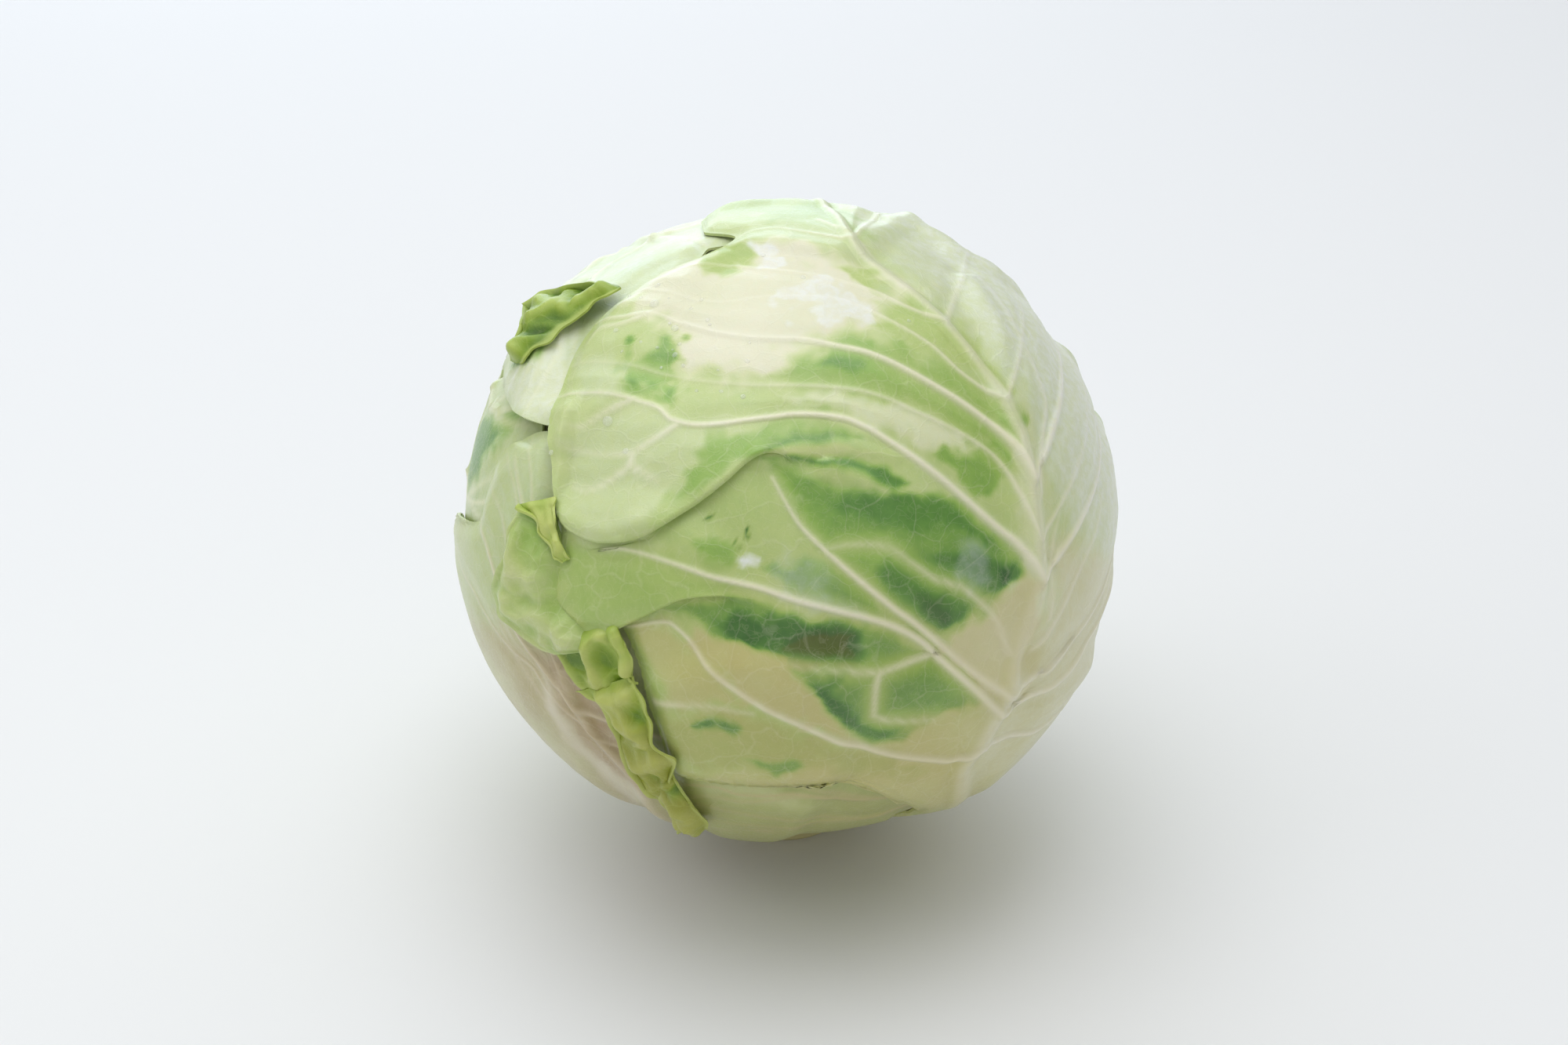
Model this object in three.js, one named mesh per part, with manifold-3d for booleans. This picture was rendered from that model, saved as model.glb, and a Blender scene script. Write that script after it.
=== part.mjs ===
// A head of white cabbage: a packed heart on its cut stem, wrapped in seven large leaves.
// Lengths are millimetres and angles are degrees. +Z is up, -Y is the front that the photograph shows,
// and the origin is the middle of the stem's cut face, on which the head rests.
import * as THREE from "three";
import Module from "manifold-3d";
import { mergeVertices } from "three/addons/utils/BufferGeometryUtils.js";

const wasm = await Module();
wasm.setup();

// Driving dimensions of the head
const HEART_HALF_WIDTH = 88;
const HEART_HALF_HEIGHT = 84;
const CENTRE_HEIGHT = 97;
const WRAPPED_HALF_WIDTH = 95.5;
const WRAPPED_HALF_HEIGHT = 91.5;
const BLADE = 1;
const GAP = 1.45;
const LAYER = BLADE + GAP;
const STEM_RADIUS = 19;
const STEM_FLARE = 1.5;
const STEM_CUT_BEVEL = 1;
const ROOT_RING_RADIUS = 22;
const ROOT_LATITUDE = -THREE.MathUtils.radToDeg(
  Math.acos(ROOT_RING_RADIUS / (HEART_HALF_WIDTH + LAYER)),
);

// How far beyond a leaf's edge the leaves over it still lie on it, and where they reach the layer below
const STEP_START = 4;
const STEP_END = 24;
// How far beyond a leaf's edge the leaves under it are still pressed flat, and where they are free
const PRESSED_END = 6;
const FREE_START = 16;

// How the photograph looks at the head
const PHOTO_CENTRE = [1000, 667.5];
const MM_PER_PIXEL = 0.224;
const CAMERA_ELEVATION = THREE.MathUtils.degToRad(28);
const CAMERA_DISTANCE = 760;
const ACROSS = new THREE.Vector3(1, 0, 0);
const UPWARD = new THREE.Vector3(0, Math.sin(CAMERA_ELEVATION), Math.cos(CAMERA_ELEVATION));
const TO_CAMERA = new THREE.Vector3(0, -Math.cos(CAMERA_ELEVATION), Math.sin(CAMERA_ELEVATION));

const smoothstep = (from, to, x) => THREE.MathUtils.smoothstep(x, from, to);

// Places on the head

// A point is [x, y, z, lift]: a unit direction from the head's centre, and a height over what it lies on.
const withLift = (direction, lift) => [direction.x, direction.y, direction.z, lift];

// The point of the wrapped head that the photograph shows at a pixel
function seen([column, row, lift = 0]) {
  const eye = TO_CAMERA.clone().multiplyScalar(CAMERA_DISTANCE);
  const target = ACROSS.clone()
    .multiplyScalar((column - PHOTO_CENTRE[0]) * MM_PER_PIXEL)
    .addScaledVector(UPWARD, (PHOTO_CENTRE[1] - row) * MM_PER_PIXEL);
  const ray = target.sub(eye);
  const squash = new THREE.Vector3(
    1 / WRAPPED_HALF_WIDTH,
    1 / WRAPPED_HALF_WIDTH,
    1 / WRAPPED_HALF_HEIGHT,
  );
  const from = eye.clone().multiply(squash);
  const along = ray.clone().multiply(squash);
  const a = along.dot(along);
  const b = from.dot(along);
  const c = from.dot(from) - 1;
  const reach = (-b - Math.sqrt(Math.max(0, b * b - a * c))) / a;
  return withLift(eye.addScaledVector(ray, reach).normalize(), lift);
}

// A point by azimuth, from the front towards the right, and latitude
function at([azimuth, latitude, lift = 0]) {
  const turn = THREE.MathUtils.degToRad(azimuth);
  const rise = THREE.MathUtils.degToRad(latitude);
  return withLift(
    new THREE.Vector3(
      Math.cos(rise) * Math.sin(turn),
      -Math.cos(rise) * Math.cos(turn),
      Math.sin(rise),
    ),
    lift,
  );
}

const directionOf = (point) => new THREE.Vector3(point[0], point[1], point[2]).normalize();

function heartRadius(direction) {
  const flat = (direction.x ** 2 + direction.y ** 2) / HEART_HALF_WIDTH ** 2;
  return 1 / Math.sqrt(flat + direction.z ** 2 / HEART_HALF_HEIGHT ** 2);
}

function place(direction, height) {
  const p = direction.clone().multiplyScalar(heartRadius(direction) + height);
  return [p.x, p.y, p.z + CENTRE_HEIGHT];
}

// Smooth curves and nets

// The tangent of a curve that doesn't overshoot, from the steps before and after a point
const tangent = (before, after) =>
  before * after > 0 ? (2 * before * after) / (before + after) : 0;

function between(points, position) {
  const i = Math.min(Math.max(Math.floor(position), 0), points.length - 2);
  const f = position - i;
  const [p1, p2] = [points[i], points[i + 1]];
  const p0 = points[i - 1];
  const p3 = points[i + 2];
  return p1.map((start, k) => {
    const step = p2[k] - start;
    const m1 = p0 ? tangent(start - p0[k], step) : step;
    const m2 = p3 ? tangent(step, p3[k] - p2[k]) : step;
    const f2 = f * f;
    const f3 = f2 * f;
    return start + step * (3 * f2 - 2 * f3) + m1 * (f3 - 2 * f2 + f) + m2 * (f3 - f2);
  });
}

const gapOf = (a, b) => Math.hypot(a[0] - b[0], a[1] - b[1], a[2] - b[2]) * WRAPPED_HALF_WIDTH;

// The same line with count + 1 points, evenly spaced along it
function evenly(points, count) {
  const run = [0];
  points.slice(1).forEach((p, i) => run.push(run[i] + gapOf(points[i], p)));
  const total = run[run.length - 1];
  return Array.from({ length: count + 1 }, (_, n) => {
    const wanted = (total * n) / count;
    let i = 0;
    while (i < points.length - 2 && run[i + 1] < wanted) i += 1;
    return between(points, i + (wanted - run[i]) / (run[i + 1] - run[i]));
  });
}

// A leaf is a net of points: rows follow its side veins from the left edge over the midrib to the right
// edge, from the stem to the tip.
function netPoint(net, u, v) {
  return between(net.map((row) => between(row, v)), u);
}

// Leaves by rule

// A leaf's plan, spread flat: each line is a side vein's start on the midrib and its end at the edge,
// in degrees of arc round the head from the leaf's middle. The leaf's width and height scale it.
const PLAN = [
  { midrib: -58, edge: [34, -54] },
  { midrib: -40, edge: [52, -30] },
  { midrib: -20, edge: [62, -4] },
  { midrib: 2, edge: [62, 22] },
  { midrib: 24, edge: [53, 44] },
  { midrib: 45, edge: [37, 60] },
  { midrib: 66, edge: [14, 68] },
];
const ROOT_SPREAD = 34;
const VEIN_BOW = 5;

// The point at (across, up) degrees of arc from the leaf's middle
function onPlan({ azimuth, latitude, roll = 0 }, across, up, lift = 0) {
  const middle = directionOf(at([azimuth, latitude]));
  const north = directionOf(at([azimuth, latitude + 90]));
  const east = north.clone().cross(middle).normalize();
  const turn = THREE.MathUtils.degToRad(roll);
  const x = across * Math.cos(turn) + up * Math.sin(turn);
  const y = up * Math.cos(turn) - across * Math.sin(turn);
  const arc = Math.hypot(x, y) || 1e-9;
  const angle = THREE.MathUtils.degToRad(arc);
  const heading = east.multiplyScalar(x / arc).addScaledVector(north, y / arc);
  return withLift(
    middle.multiplyScalar(Math.cos(angle)).addScaledVector(heading, Math.sin(angle)),
    lift,
  );
}

// The row where a leaf clasps the stem
const rootRow = (azimuth, columns) =>
  Array.from({ length: 2 * columns + 1 }, (_, c) =>
    at([azimuth + (ROOT_SPREAD * (c - columns)) / columns, ROOT_LATITUDE]),
  );

function plannedNet(leaf, columns) {
  const veins = PLAN.map(({ midrib, edge }, i) => {
    const half = (side) => {
      const wave = 1 + leaf.wave * Math.sin(leaf.phase + 2.4 * i + side);
      const lift = leaf.edgeLift * (1 + Math.sin(leaf.phase * 2 + 2.1 * i + side));
      return Array.from({ length: columns + 1 }, (_, c) => {
        const t = c / columns;
        const across = side * edge[0] * leaf.width * wave * t;
        const rise = midrib + (edge[1] - midrib) * t - VEIN_BOW * 4 * t * (1 - t);
        return onPlan(leaf, across, rise * leaf.height, lift * smoothstep(0.6, 1, t));
      });
    };
    return [...half(-1).reverse(), ...half(1).slice(1)];
  });
  return [rootRow(leaf.azimuth, columns), ...veins];
}

const PLANNED_LEAVES = [
  { name: "right_leaf", azimuth: 112, latitude: -8, width: 1, height: 0.9, phase: 0.4 },
  { name: "back_leaf", azimuth: 172, latitude: -2, width: 1, height: 0.94, phase: 1.7 },
  { name: "far_left_leaf", azimuth: -98, latitude: -14, width: 0.8, height: 0.86, phase: 2.9,
    edgeLift: 1.4 },
].map((leaf) => ({ wave: 0.05, edgeLift: 0.5, ...leaf }));

// Leaves drawn from the photograph

// Each line is one crossing of a leaf, from the stem to the tip: out from the midrib to the left edge and
// to the right edge, through places that are seen at pixels or given by azimuth and latitude.
const ROOTS = { left_leaf: -38, upper_left_leaf: -140, lower_leaf: 32, front_leaf: 62 };

const LEFT_LEAF_LINES = [
  { midrib: at([-37, -66]), right: [at([-16, -66])], left: [at([-58, -62]), at([-76, -57])] },
  { midrib: at([-33, -47]), right: [at([-8, -52])],
    left: [at([-60, -44]), at([-82, -38]), at([-93, -34])] },
  { midrib: seen([796, 1003]), right: [at([-2, -38])],
    left: [seen([735, 972]), at([-58, -28]), at([-80, -21]), at([-97, -16])] },
  { midrib: seen([748, 950]), vein: true, right: [at([2, -26])],
    left: [seen([705, 908]), seen([672, 857]), seen([638, 827]), seen([611, 790]), seen([590, 749]),
      at([-92, 0, 0.6])] },
  { midrib: seen([724, 912]), vein: true, right: [at([5, -14])],
    left: [seen([705, 888]), seen([678, 847]), seen([648, 803]), seen([628, 749]), seen([611, 695]),
      seen([598, 660, 1])] },
  { midrib: seen([702, 860]), vein: true, right: [at([6, -3])],
    left: [seen([680, 812]), seen([655, 765]), seen([640, 710]), seen([628, 650]), seen([613, 610, 1.4])] },
  { midrib: seen([684, 800]), vein: true, right: [at([2, 7])],
    left: [seen([666, 745]), seen([654, 690]), seen([648, 630]), seen([640, 571, 1.6])] },
  { midrib: seen([676, 735]), vein: true, right: [at([-8, 16])],
    left: [seen([669, 670]), seen([668, 610]), seen([666, 549, 1.2])] },
  { midrib: seen([686, 670]), right: [at([-20, 24])], left: [seen([692, 605]), seen([702, 541, 0.6])] },
];

const UPPER_LEFT_LEAF_LINES = [
  { midrib: at([-138, -58]), right: [at([-112, -54])], left: [at([-172, -52])] },
  { midrib: at([-137, -36]), vein: true, right: [at([-105, -28])],
    left: [at([-168, -38]), at([163, -24])] },
  { midrib: at([-137, -14]), vein: true, right: [at([-103, -5])],
    left: [at([-170, -12]), at([155, 0])] },
  { midrib: at([-137, 8]), vein: true, right: [at([-104, 15])], left: [at([-170, 13]), at([153, 24])] },
  { midrib: at([-137, 28]), vein: true, right: [at([-118, 32]), at([-103, 32, 1])],
    left: [at([-172, 34]), at([150, 44])] },
  { midrib: at([-136, 44]), vein: true,
    right: [at([-115, 44]), seen([688, 425, 3]), seen([664, 470, 2.4]), seen([641, 507, 1.6])],
    left: [at([-178, 51]), at([144, 58])] },
  { midrib: at([-132, 56]), vein: true,
    right: [at([-112, 52]), seen([715, 400, 2.6]), seen([700, 445, 1.6]), seen([680, 490, 1]),
      seen([668, 532, 1.4])],
    left: [at([178, 66]), at([136, 68])] },
  { midrib: at([-122, 67]),
    right: [at([-95, 60]), seen([765, 365, 1]), seen([745, 430]), seen([728, 485]), seen([712, 533])],
    left: [at([-176, 76]), at([120, 76])] },
  { midrib: at([-100, 76]), right: [at([-62, 68]), seen([800, 400]), seen([780, 470])],
    left: [at([-110, 86]), at([80, 80])] },
];

const LOWER_LEAF_LINES = [
  { midrib: at([42, -67]), right: [at([62, -66])],
    left: [at([15, -68]), at([-8, -67]), at([-20, -66])] },
  { midrib: at([40, -52]), right: [at([66, -58])],
    left: [at([16, -54]), at([-6, -52]), at([-22, -50])] },
  { midrib: seen([1182, 1040]), vein: true, right: [at([70, -54])],
    left: [seen([1117, 1062]), seen([1060, 1068]), seen([980, 1066]), seen([905, 1056, 0.6]),
      seen([868, 1048, 0.8])] },
  { midrib: seen([1200, 1022]), vein: true, right: [at([76, -44])],
    left: [seen([1117, 1040]), seen([1073, 1037]), seen([1016, 1023]), seen([955, 1026]),
      seen([901, 1012]), seen([852, 1012, 0.8])] },
  { midrib: seen([1215, 1004]), vein: true, right: [at([78, -34])],
    left: [seen([1171, 1009]), seen([1129, 997]), seen([1087, 993]), seen([1000, 975]),
      seen([900, 960]), seen([840, 945])] },
  { midrib: seen([1240, 955]), right: [at([72, -22])],
    left: [seen([1100, 935]), seen([960, 912]), seen([858, 900])] },
  { midrib: seen([1225, 900]), right: [at([58, -14])],
    left: [seen([1100, 890]), seen([980, 880]), seen([900, 880])] },
];

// A fold's line is the turned lip that hangs over the leaf below it.
const FRONT_LEAF_LINES = [
  { midrib: at([54, -62]), right: [at([80, -64])], left: [at([38, -63])] },
  { midrib: at([46, -44]), right: [at([88, -50])], left: [at([36, -44])] },
  { midrib: seen([1227, 995]), right: [at([90, -42])], left: [seen([1202, 989])] },
  { midrib: seen([1230, 990]), right: [at([91, -39])], left: [seen([1157, 985]), seen([1095, 990])] },
  { midrib: seen([1232, 986]), right: [at([91.5, -36.5])],
    left: [seen([1157, 984]), seen([1073, 990]), seen([980, 985])] },
  { midrib: seen([1234, 981]), right: [at([92, -34])],
    left: [seen([1157, 985]), seen([1073, 991]), seen([988, 985]), seen([913, 981]), seen([862, 994])] },
  { midrib: seen([1240, 972]), right: [at([93, -28])],
    left: [seen([1160, 977]), seen([1080, 968]), seen([1000, 957]), seen([925, 940]), seen([836, 930])] },
  { midrib: seen([1252, 955]), vein: true, right: [at([94, -22])],
    left: [seen([1225, 973]), seen([1180, 975]), seen([1130, 968]), seen([1080, 950]),
      seen([1030, 928]), seen([980, 905]), seen([940, 880]), seen([900, 850]), seen([870, 815]),
      seen([845, 797]), seen([782, 806])] },
  { midrib: seen([1268, 928]), fold: true, right: [at([95, -15, 1.4])],
    left: [seen([1225, 880]), seen([1160, 835]), seen([1080, 805]), seen([1000, 778]),
      seen([925, 763, 1.2]), seen([880, 764, 2]), seen([820, 788, 2.2]), seen([760, 818, 2])] },
  { midrib: seen([1273, 920]), right: [at([96, -10, 0.4])],
    left: [seen([1235, 880]), seen([1170, 827]), seen([1090, 797]), seen([1010, 772]),
      seen([930, 750, 0.8]), seen([850, 748, 1.8]), seen([760, 765, 2]), seen([700, 768, 1.8]),
      seen([652, 748, 1.5])] },
  { midrib: seen([1278, 912]), vein: true, right: [at([97, -4, 1.6])],
    left: [seen([1250, 885]), seen([1210, 850]), seen([1180, 823]), seen([1130, 800]),
      seen([1070, 785]), seen([1020, 772]), seen([960, 750, 0.5]), seen([900, 735, 1.2]),
      seen([860, 720, 1.4]), seen([795, 695, 1.2]), seen([730, 700, 1]), seen([664, 700, 1])] },
  { midrib: seen([1290, 890]), vein: true, right: [at([98, 2, 0.4])],
    left: [seen([1255, 868]), seen([1215, 835]), seen([1180, 805]), seen([1140, 776]),
      seen([1100, 743]), seen([1060, 708]), seen([1020, 668]), seen([1000, 635]), seen([985, 607]),
      seen([968, 590]), seen([925, 620, 0.4]), seen([870, 655, 0.6]), seen([800, 680, 0.6]),
      seen([690, 672, 0.6])] },
  { midrib: seen([1322, 800]), fold: true, right: [at([99, 8, 2])],
    left: [seen([1305, 720]), seen([1262, 660]), seen([1215, 618]), seen([1160, 598]),
      seen([1100, 588]), seen([1040, 580, 0.6]), seen([975, 575, 1.6]), seen([935, 605, 2.6]),
      seen([880, 648, 3.2]), seen([830, 681, 3.2]), seen([790, 697, 3]), seen([716, 708, 2.6])] },
  { midrib: seen([1328, 770]), right: [at([100, 14, 2.2])],
    left: [seen([1308, 705]), seen([1275, 655]), seen([1220, 608]), seen([1160, 572]),
      seen([1080, 545]), seen([1010, 545, 0.5]), seen([950, 562, 1.4]), seen([890, 597, 2.4]),
      seen([840, 632, 2.8]), seen([780, 655, 2.8]), seen([704, 648, 2.6])] },
  { midrib: seen([1331, 740]), vein: true, right: [at([102, 20, 0.6])],
    left: [seen([1312, 700]), seen([1285, 672]), seen([1250, 640]), seen([1190, 590]),
      seen([1140, 555]), seen([1080, 525]), seen([1020, 520]), seen([960, 528, 0.5]),
      seen([900, 536, 1]), seen([857, 533, 1.4]), seen([840, 517, 1.4]), seen([800, 503, 1.2]),
      seen([760, 498, 1]), seen([704, 502, 0.4])] },
  { midrib: seen([1330, 690]), vein: true, right: [at([104, 27, 2])],
    left: [seen([1318, 640]), seen([1300, 590]), seen([1288, 569]), seen([1227, 538]),
      seen([1181, 517]), seen([1123, 492]), seen([1060, 482]), seen([980, 480]), seen([900, 475]),
      seen([820, 462]), seen([760, 455]), seen([714, 458])] },
  { midrib: seen([1322, 610]), vein: true, right: [at([107, 34, 0.5])],
    left: [seen([1308, 560]), seen([1285, 512]), seen([1250, 483]), seen([1220, 468]),
      seen([1162, 442]), seen([1110, 426]), seen([1064, 424]), seen([1032, 418]), seen([975, 416]),
      seen([923, 411]), seen([880, 402]), seen([829, 391]), seen([790, 397]), seen([750, 400])] },
  { midrib: seen([1290, 505]), vein: true, right: [at([114, 42, 1.8])],
    left: [seen([1250, 445]), seen([1205, 398]), seen([1162, 379]), seen([1103, 364]),
      seen([1069, 358]), seen([971, 360]), seen([928, 368]), seen([880, 366]), seen([840, 362]),
      seen([796, 360])] },
  { midrib: seen([1215, 400]), vein: true, right: [at([128, 46, 0.5])],
    left: [seen([1150, 345]), seen([1100, 320]), seen([1053, 309]), seen([988, 310]), seen([919, 311]),
      seen([880, 322]), seen([836, 326])] },
  { midrib: seen([1130, 330]), vein: true, right: [at([144, 48, 1.4])],
    left: [seen([1100, 308]), seen([1075, 298]), seen([1032, 283]), seen([984, 281]), seen([940, 286]),
      seen([895, 298])] },
  { midrib: seen([1088, 300]), right: [at([152, 47])],
    left: [seen([1060, 284]), seen([1025, 274]), seen([985, 273]), seen([935, 283])] },
];
const FRONT_LEAF_TIP_LINES = [
  { midrib: at([166, 62]), right: [at([160, 46])],
    left: [at([176, 68]), at([-165, 72]), at([-120, 73])] },
  { midrib: at([179, 49]), right: [at([172, 47])],
    left: [at([-172, 53]), at([-160, 58]), at([-145, 63])] },
];
const FOLD_DROP_PIXELS = 5;

// The crumpled rim of the front leaf: its left and right side at each step down the leaf's left edge
const RIM_STEPS = [
  { left: [686, 645], right: [709, 637], lift: 2 },
  { left: [668, 657], right: [703, 656], lift: 3.8 },
  { left: [662, 688], right: [712, 688], lift: 2.2 },
  { left: [650, 724], right: [717, 711], lift: 3.6 },
  { left: [641, 746], right: [690, 752], lift: 1.8 },
  { left: [655, 788], right: [716, 798], lift: 4.2 },
  { left: [690, 828], right: [748, 822], lift: 2 },
  { left: [718, 850], right: [778, 806], lift: 3.8 },
  { left: [738, 870], right: [797, 838], lift: 1.8 },
  { left: [738, 888], right: [812, 868], lift: 4.2 },
  { left: [776, 910], right: [826, 897], lift: 2 },
  { left: [786, 948], right: [846, 942], lift: 4 },
  { left: [815, 982], right: [862, 965], lift: 2 },
  { left: [838, 1012], right: [868, 992], lift: 3.6 },
  { left: [852, 1024], right: [886, 1020], lift: 1.8 },
  { left: [866, 1048], right: [905, 1050], lift: 3 },
];
const RIM_EDGE_LIFT = 1.4;
const RIM_ROOT_DEPTH = 0.7;

function crossing({ midrib, left, right }, columns) {
  const toLeft = evenly([midrib, ...left], columns);
  const toRight = evenly([midrib, ...right], columns);
  return [...toLeft.reverse(), ...toRight.slice(1)];
}

// A drawn leaf: its net, and which of the net's rows are veins
function drawnLeaf(name, lines, columns) {
  const net = [];
  const veins = [];
  if (name in ROOTS) {
    net.push(rootRow(ROOTS[name], columns));
    veins.push(false);
  }
  lines.forEach((line) => {
    const row = crossing(line, columns);
    if (line.fold) {
      net.push(foldFoot(row, net[net.length - 1]));
      veins.push(false);
    }
    net.push(row);
    veins.push(Boolean(line.vein));
  });
  return { name, net, veins, columns };
}

// The foot of a fold's lip: the same line, dropped to the leaf below it and moved a little towards that
function foldFoot(lip, below) {
  const drop = FOLD_DROP_PIXELS * MM_PER_PIXEL;
  return lip.map((p, c) => {
    const share = Math.min(0.4, drop / gapOf(p, below[c]));
    return p.map((value, k) => (k < 3 ? value + (below[c][k] - value) * share : below[c][k]));
  });
}

// How leaves lie on each other

const FOOTPRINT_SECTORS = 90;

// A leaf's outline as a distance from its middle in each direction
function footprintOf(net) {
  const middle = new THREE.Vector3();
  net.forEach((row) => row.forEach((p) => middle.add(directionOf(p))));
  middle.normalize();
  const east = new THREE.Vector3(0, 0, 1).cross(middle).normalize();
  const north = middle.clone().cross(east);
  const last = net[0].length - 1;
  const outline = [];
  for (let n = 0; n <= 12 * (net.length - 1); n += 1) {
    outline.push(netPoint(net, n / 12, 0), netPoint(net, n / 12, last));
  }
  for (let n = 0; n <= 12 * last; n += 1) {
    outline.push(netPoint(net, 0, n / 12), netPoint(net, net.length - 1, n / 12));
  }
  const reach = new Array(FOOTPRINT_SECTORS).fill(0);
  const polar = (direction) => ({
    arc: Math.acos(THREE.MathUtils.clamp(direction.dot(middle), -1, 1)) * WRAPPED_HALF_WIDTH,
    sector: ((Math.atan2(direction.dot(north), direction.dot(east)) / (2 * Math.PI) + 1) *
      FOOTPRINT_SECTORS) % FOOTPRINT_SECTORS,
  });
  outline.forEach((p) => {
    const { arc, sector } = polar(directionOf(p));
    [Math.floor(sector), Math.ceil(sector)].forEach((s) => {
      reach[s % FOOTPRINT_SECTORS] = Math.max(reach[s % FOOTPRINT_SECTORS], arc);
    });
  });
  return (direction) => {
    const { arc, sector } = polar(direction);
    const s = Math.floor(sector);
    const f = sector - s;
    const edge = reach[s] * (1 - f) + reach[(s + 1) % FOOTPRINT_SECTORS] * f;
    return arc - edge;
  };
}

const COLUMNS = 6;
const FRONT_COLUMNS = 8;
const leaves = [
  ...PLANNED_LEAVES.map((leaf) => {
    const net = plannedNet(leaf, COLUMNS);
    const veins = net.map((_, i) => i > 0 && i < net.length - 1);
    return { name: leaf.name, net, veins, columns: COLUMNS };
  }),
  drawnLeaf("left_leaf", LEFT_LEAF_LINES, COLUMNS),
  drawnLeaf("upper_left_leaf", UPPER_LEFT_LEAF_LINES, COLUMNS),
  drawnLeaf("lower_leaf", LOWER_LEAF_LINES, COLUMNS),
  drawnLeaf("front_leaf", [...FRONT_LEAF_LINES, ...FRONT_LEAF_TIP_LINES], FRONT_COLUMNS),
];
leaves.forEach((leaf) => {
  leaf.beyondEdge = footprintOf(leaf.net);
});

// The height of the leaves that lie under a leaf
function stackUnder(order, direction) {
  const layer = (leaf) => LAYER * (1 - smoothstep(STEP_START, STEP_END, leaf.beyondEdge(direction)));
  return leaves.slice(0, order).reduce((sum, leaf) => sum + layer(leaf), 0);
}

// 1 where a leaf is free, and 0 where leaves over it press it flat
function freedom(order, direction) {
  const clear = (leaf) => smoothstep(PRESSED_END, FREE_START, leaf.beyondEdge(direction));
  return leaves.slice(order + 1).reduce((free, leaf) => free * clear(leaf), 1);
}

// Leaf solids

const VEIN_HALF_WIDTH = [2.6, 1.3];
const VEIN_HEIGHT = [1.5, 0.5];
const MIDRIB_HALF_WIDTH = [7, 2.2];
const MIDRIB_HEIGHT = [3, 0.8];
const MIDRIB_START = 0.2;
const FOOT_SHARE = 0.34;
const taper = ([start, end], share) => start + (end - start) * share;

// The rows of a leaf's mesh: three for each side vein, its two feet and its crest, and one between veins
function meshRows(leaf) {
  const rows = [];
  leaf.net.forEach((_, i) => {
    const feet = leaf.veins[i] ? [-1, 0, 1] : [0];
    feet.forEach((foot) => rows.push({ row: i, foot }));
    if (i < leaf.net.length - 1) rows.push({ row: i + 0.5, foot: 0 });
  });
  return rows;
}

function meshColumns(leaf) {
  const columns = [];
  for (let column = 0; column <= 2 * leaf.columns; column += 1) {
    const feet = column === leaf.columns ? [-1, 0, 1] : [0];
    feet.forEach((foot) => columns.push({ column, foot }));
  }
  return columns;
}

function leafVertex(leaf, order, { row, foot }, { column, foot: side }) {
  const { net, columns } = leaf;
  const up = row / (net.length - 1);
  const out = Math.abs(column - columns) / columns;
  let u = row;
  let v = column;
  if (foot) {
    const neighbour = netPoint(net, row + foot, column);
    const share = taper(VEIN_HALF_WIDTH, out) / gapOf(netPoint(net, row, column), neighbour);
    u = row + foot * Math.min(FOOT_SHARE, share);
  }
  if (side) {
    const neighbour = netPoint(net, row, column + side);
    const share = taper(MIDRIB_HALF_WIDTH, up) / gapOf(netPoint(net, row, column), neighbour);
    v = column + side * Math.min(2 * FOOT_SHARE, share);
  }
  const point = netPoint(net, u, v);
  const direction = directionOf(point);
  const free = freedom(order, direction);
  const onVein = leaf.veins[row] && !foot && out < 0.95;
  const onMidrib = column === columns && !side;
  const rib = Math.max(
    onVein ? taper(VEIN_HEIGHT, out) : 0,
    onMidrib ? taper(MIDRIB_HEIGHT, up) * smoothstep(0, MIDRIB_START, up) : 0,
  );
  const ground = stackUnder(order, direction) + GAP + point[3] * free;
  return { direction, low: ground, high: ground + BLADE + rib * free };
}

// A closed solid from a grid of points with a low and a high face
function shellBetween(grid) {
  const [rows, columns] = [grid.length, grid[0].length];
  const positions = [];
  ["high", "low"].forEach((face) =>
    grid.forEach((row) => row.forEach((p) => positions.push(...place(p.direction, p[face])))),
  );
  const top = (r, c) => r * columns + c;
  const bottom = (r, c) => rows * columns + top(r, c);
  const faces = [];
  const quad = (a, b, c, d) => faces.push(a, b, c, a, c, d);
  for (let r = 0; r < rows - 1; r += 1) {
    for (let c = 0; c < columns - 1; c += 1) {
      quad(top(r, c), top(r, c + 1), top(r + 1, c + 1), top(r + 1, c));
      faces.push(bottom(r, c), bottom(r + 1, c + 1), bottom(r, c + 1));
      faces.push(bottom(r, c), bottom(r + 1, c), bottom(r + 1, c + 1));
    }
  }
  for (let c = 0; c < columns - 1; c += 1) {
    quad(bottom(0, c), bottom(0, c + 1), top(0, c + 1), top(0, c));
    quad(top(rows - 1, c), top(rows - 1, c + 1), bottom(rows - 1, c + 1), bottom(rows - 1, c));
  }
  for (let r = 0; r < rows - 1; r += 1) {
    quad(top(r, 0), top(r + 1, 0), bottom(r + 1, 0), bottom(r, 0));
    quad(bottom(r, columns - 1), bottom(r + 1, columns - 1), top(r + 1, columns - 1), top(r, columns - 1));
  }
  const geometry = new THREE.BufferGeometry();
  geometry.setAttribute("position", new THREE.Float32BufferAttribute(positions, 3));
  geometry.setIndex(faces);
  return geometry;
}

function bladeOf(leaf, order) {
  const columns = meshColumns(leaf);
  const meshRow = (row) => columns.map((column) => leafVertex(leaf, order, row, column));
  return shellBetween(meshRows(leaf).map(meshRow));
}

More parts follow.
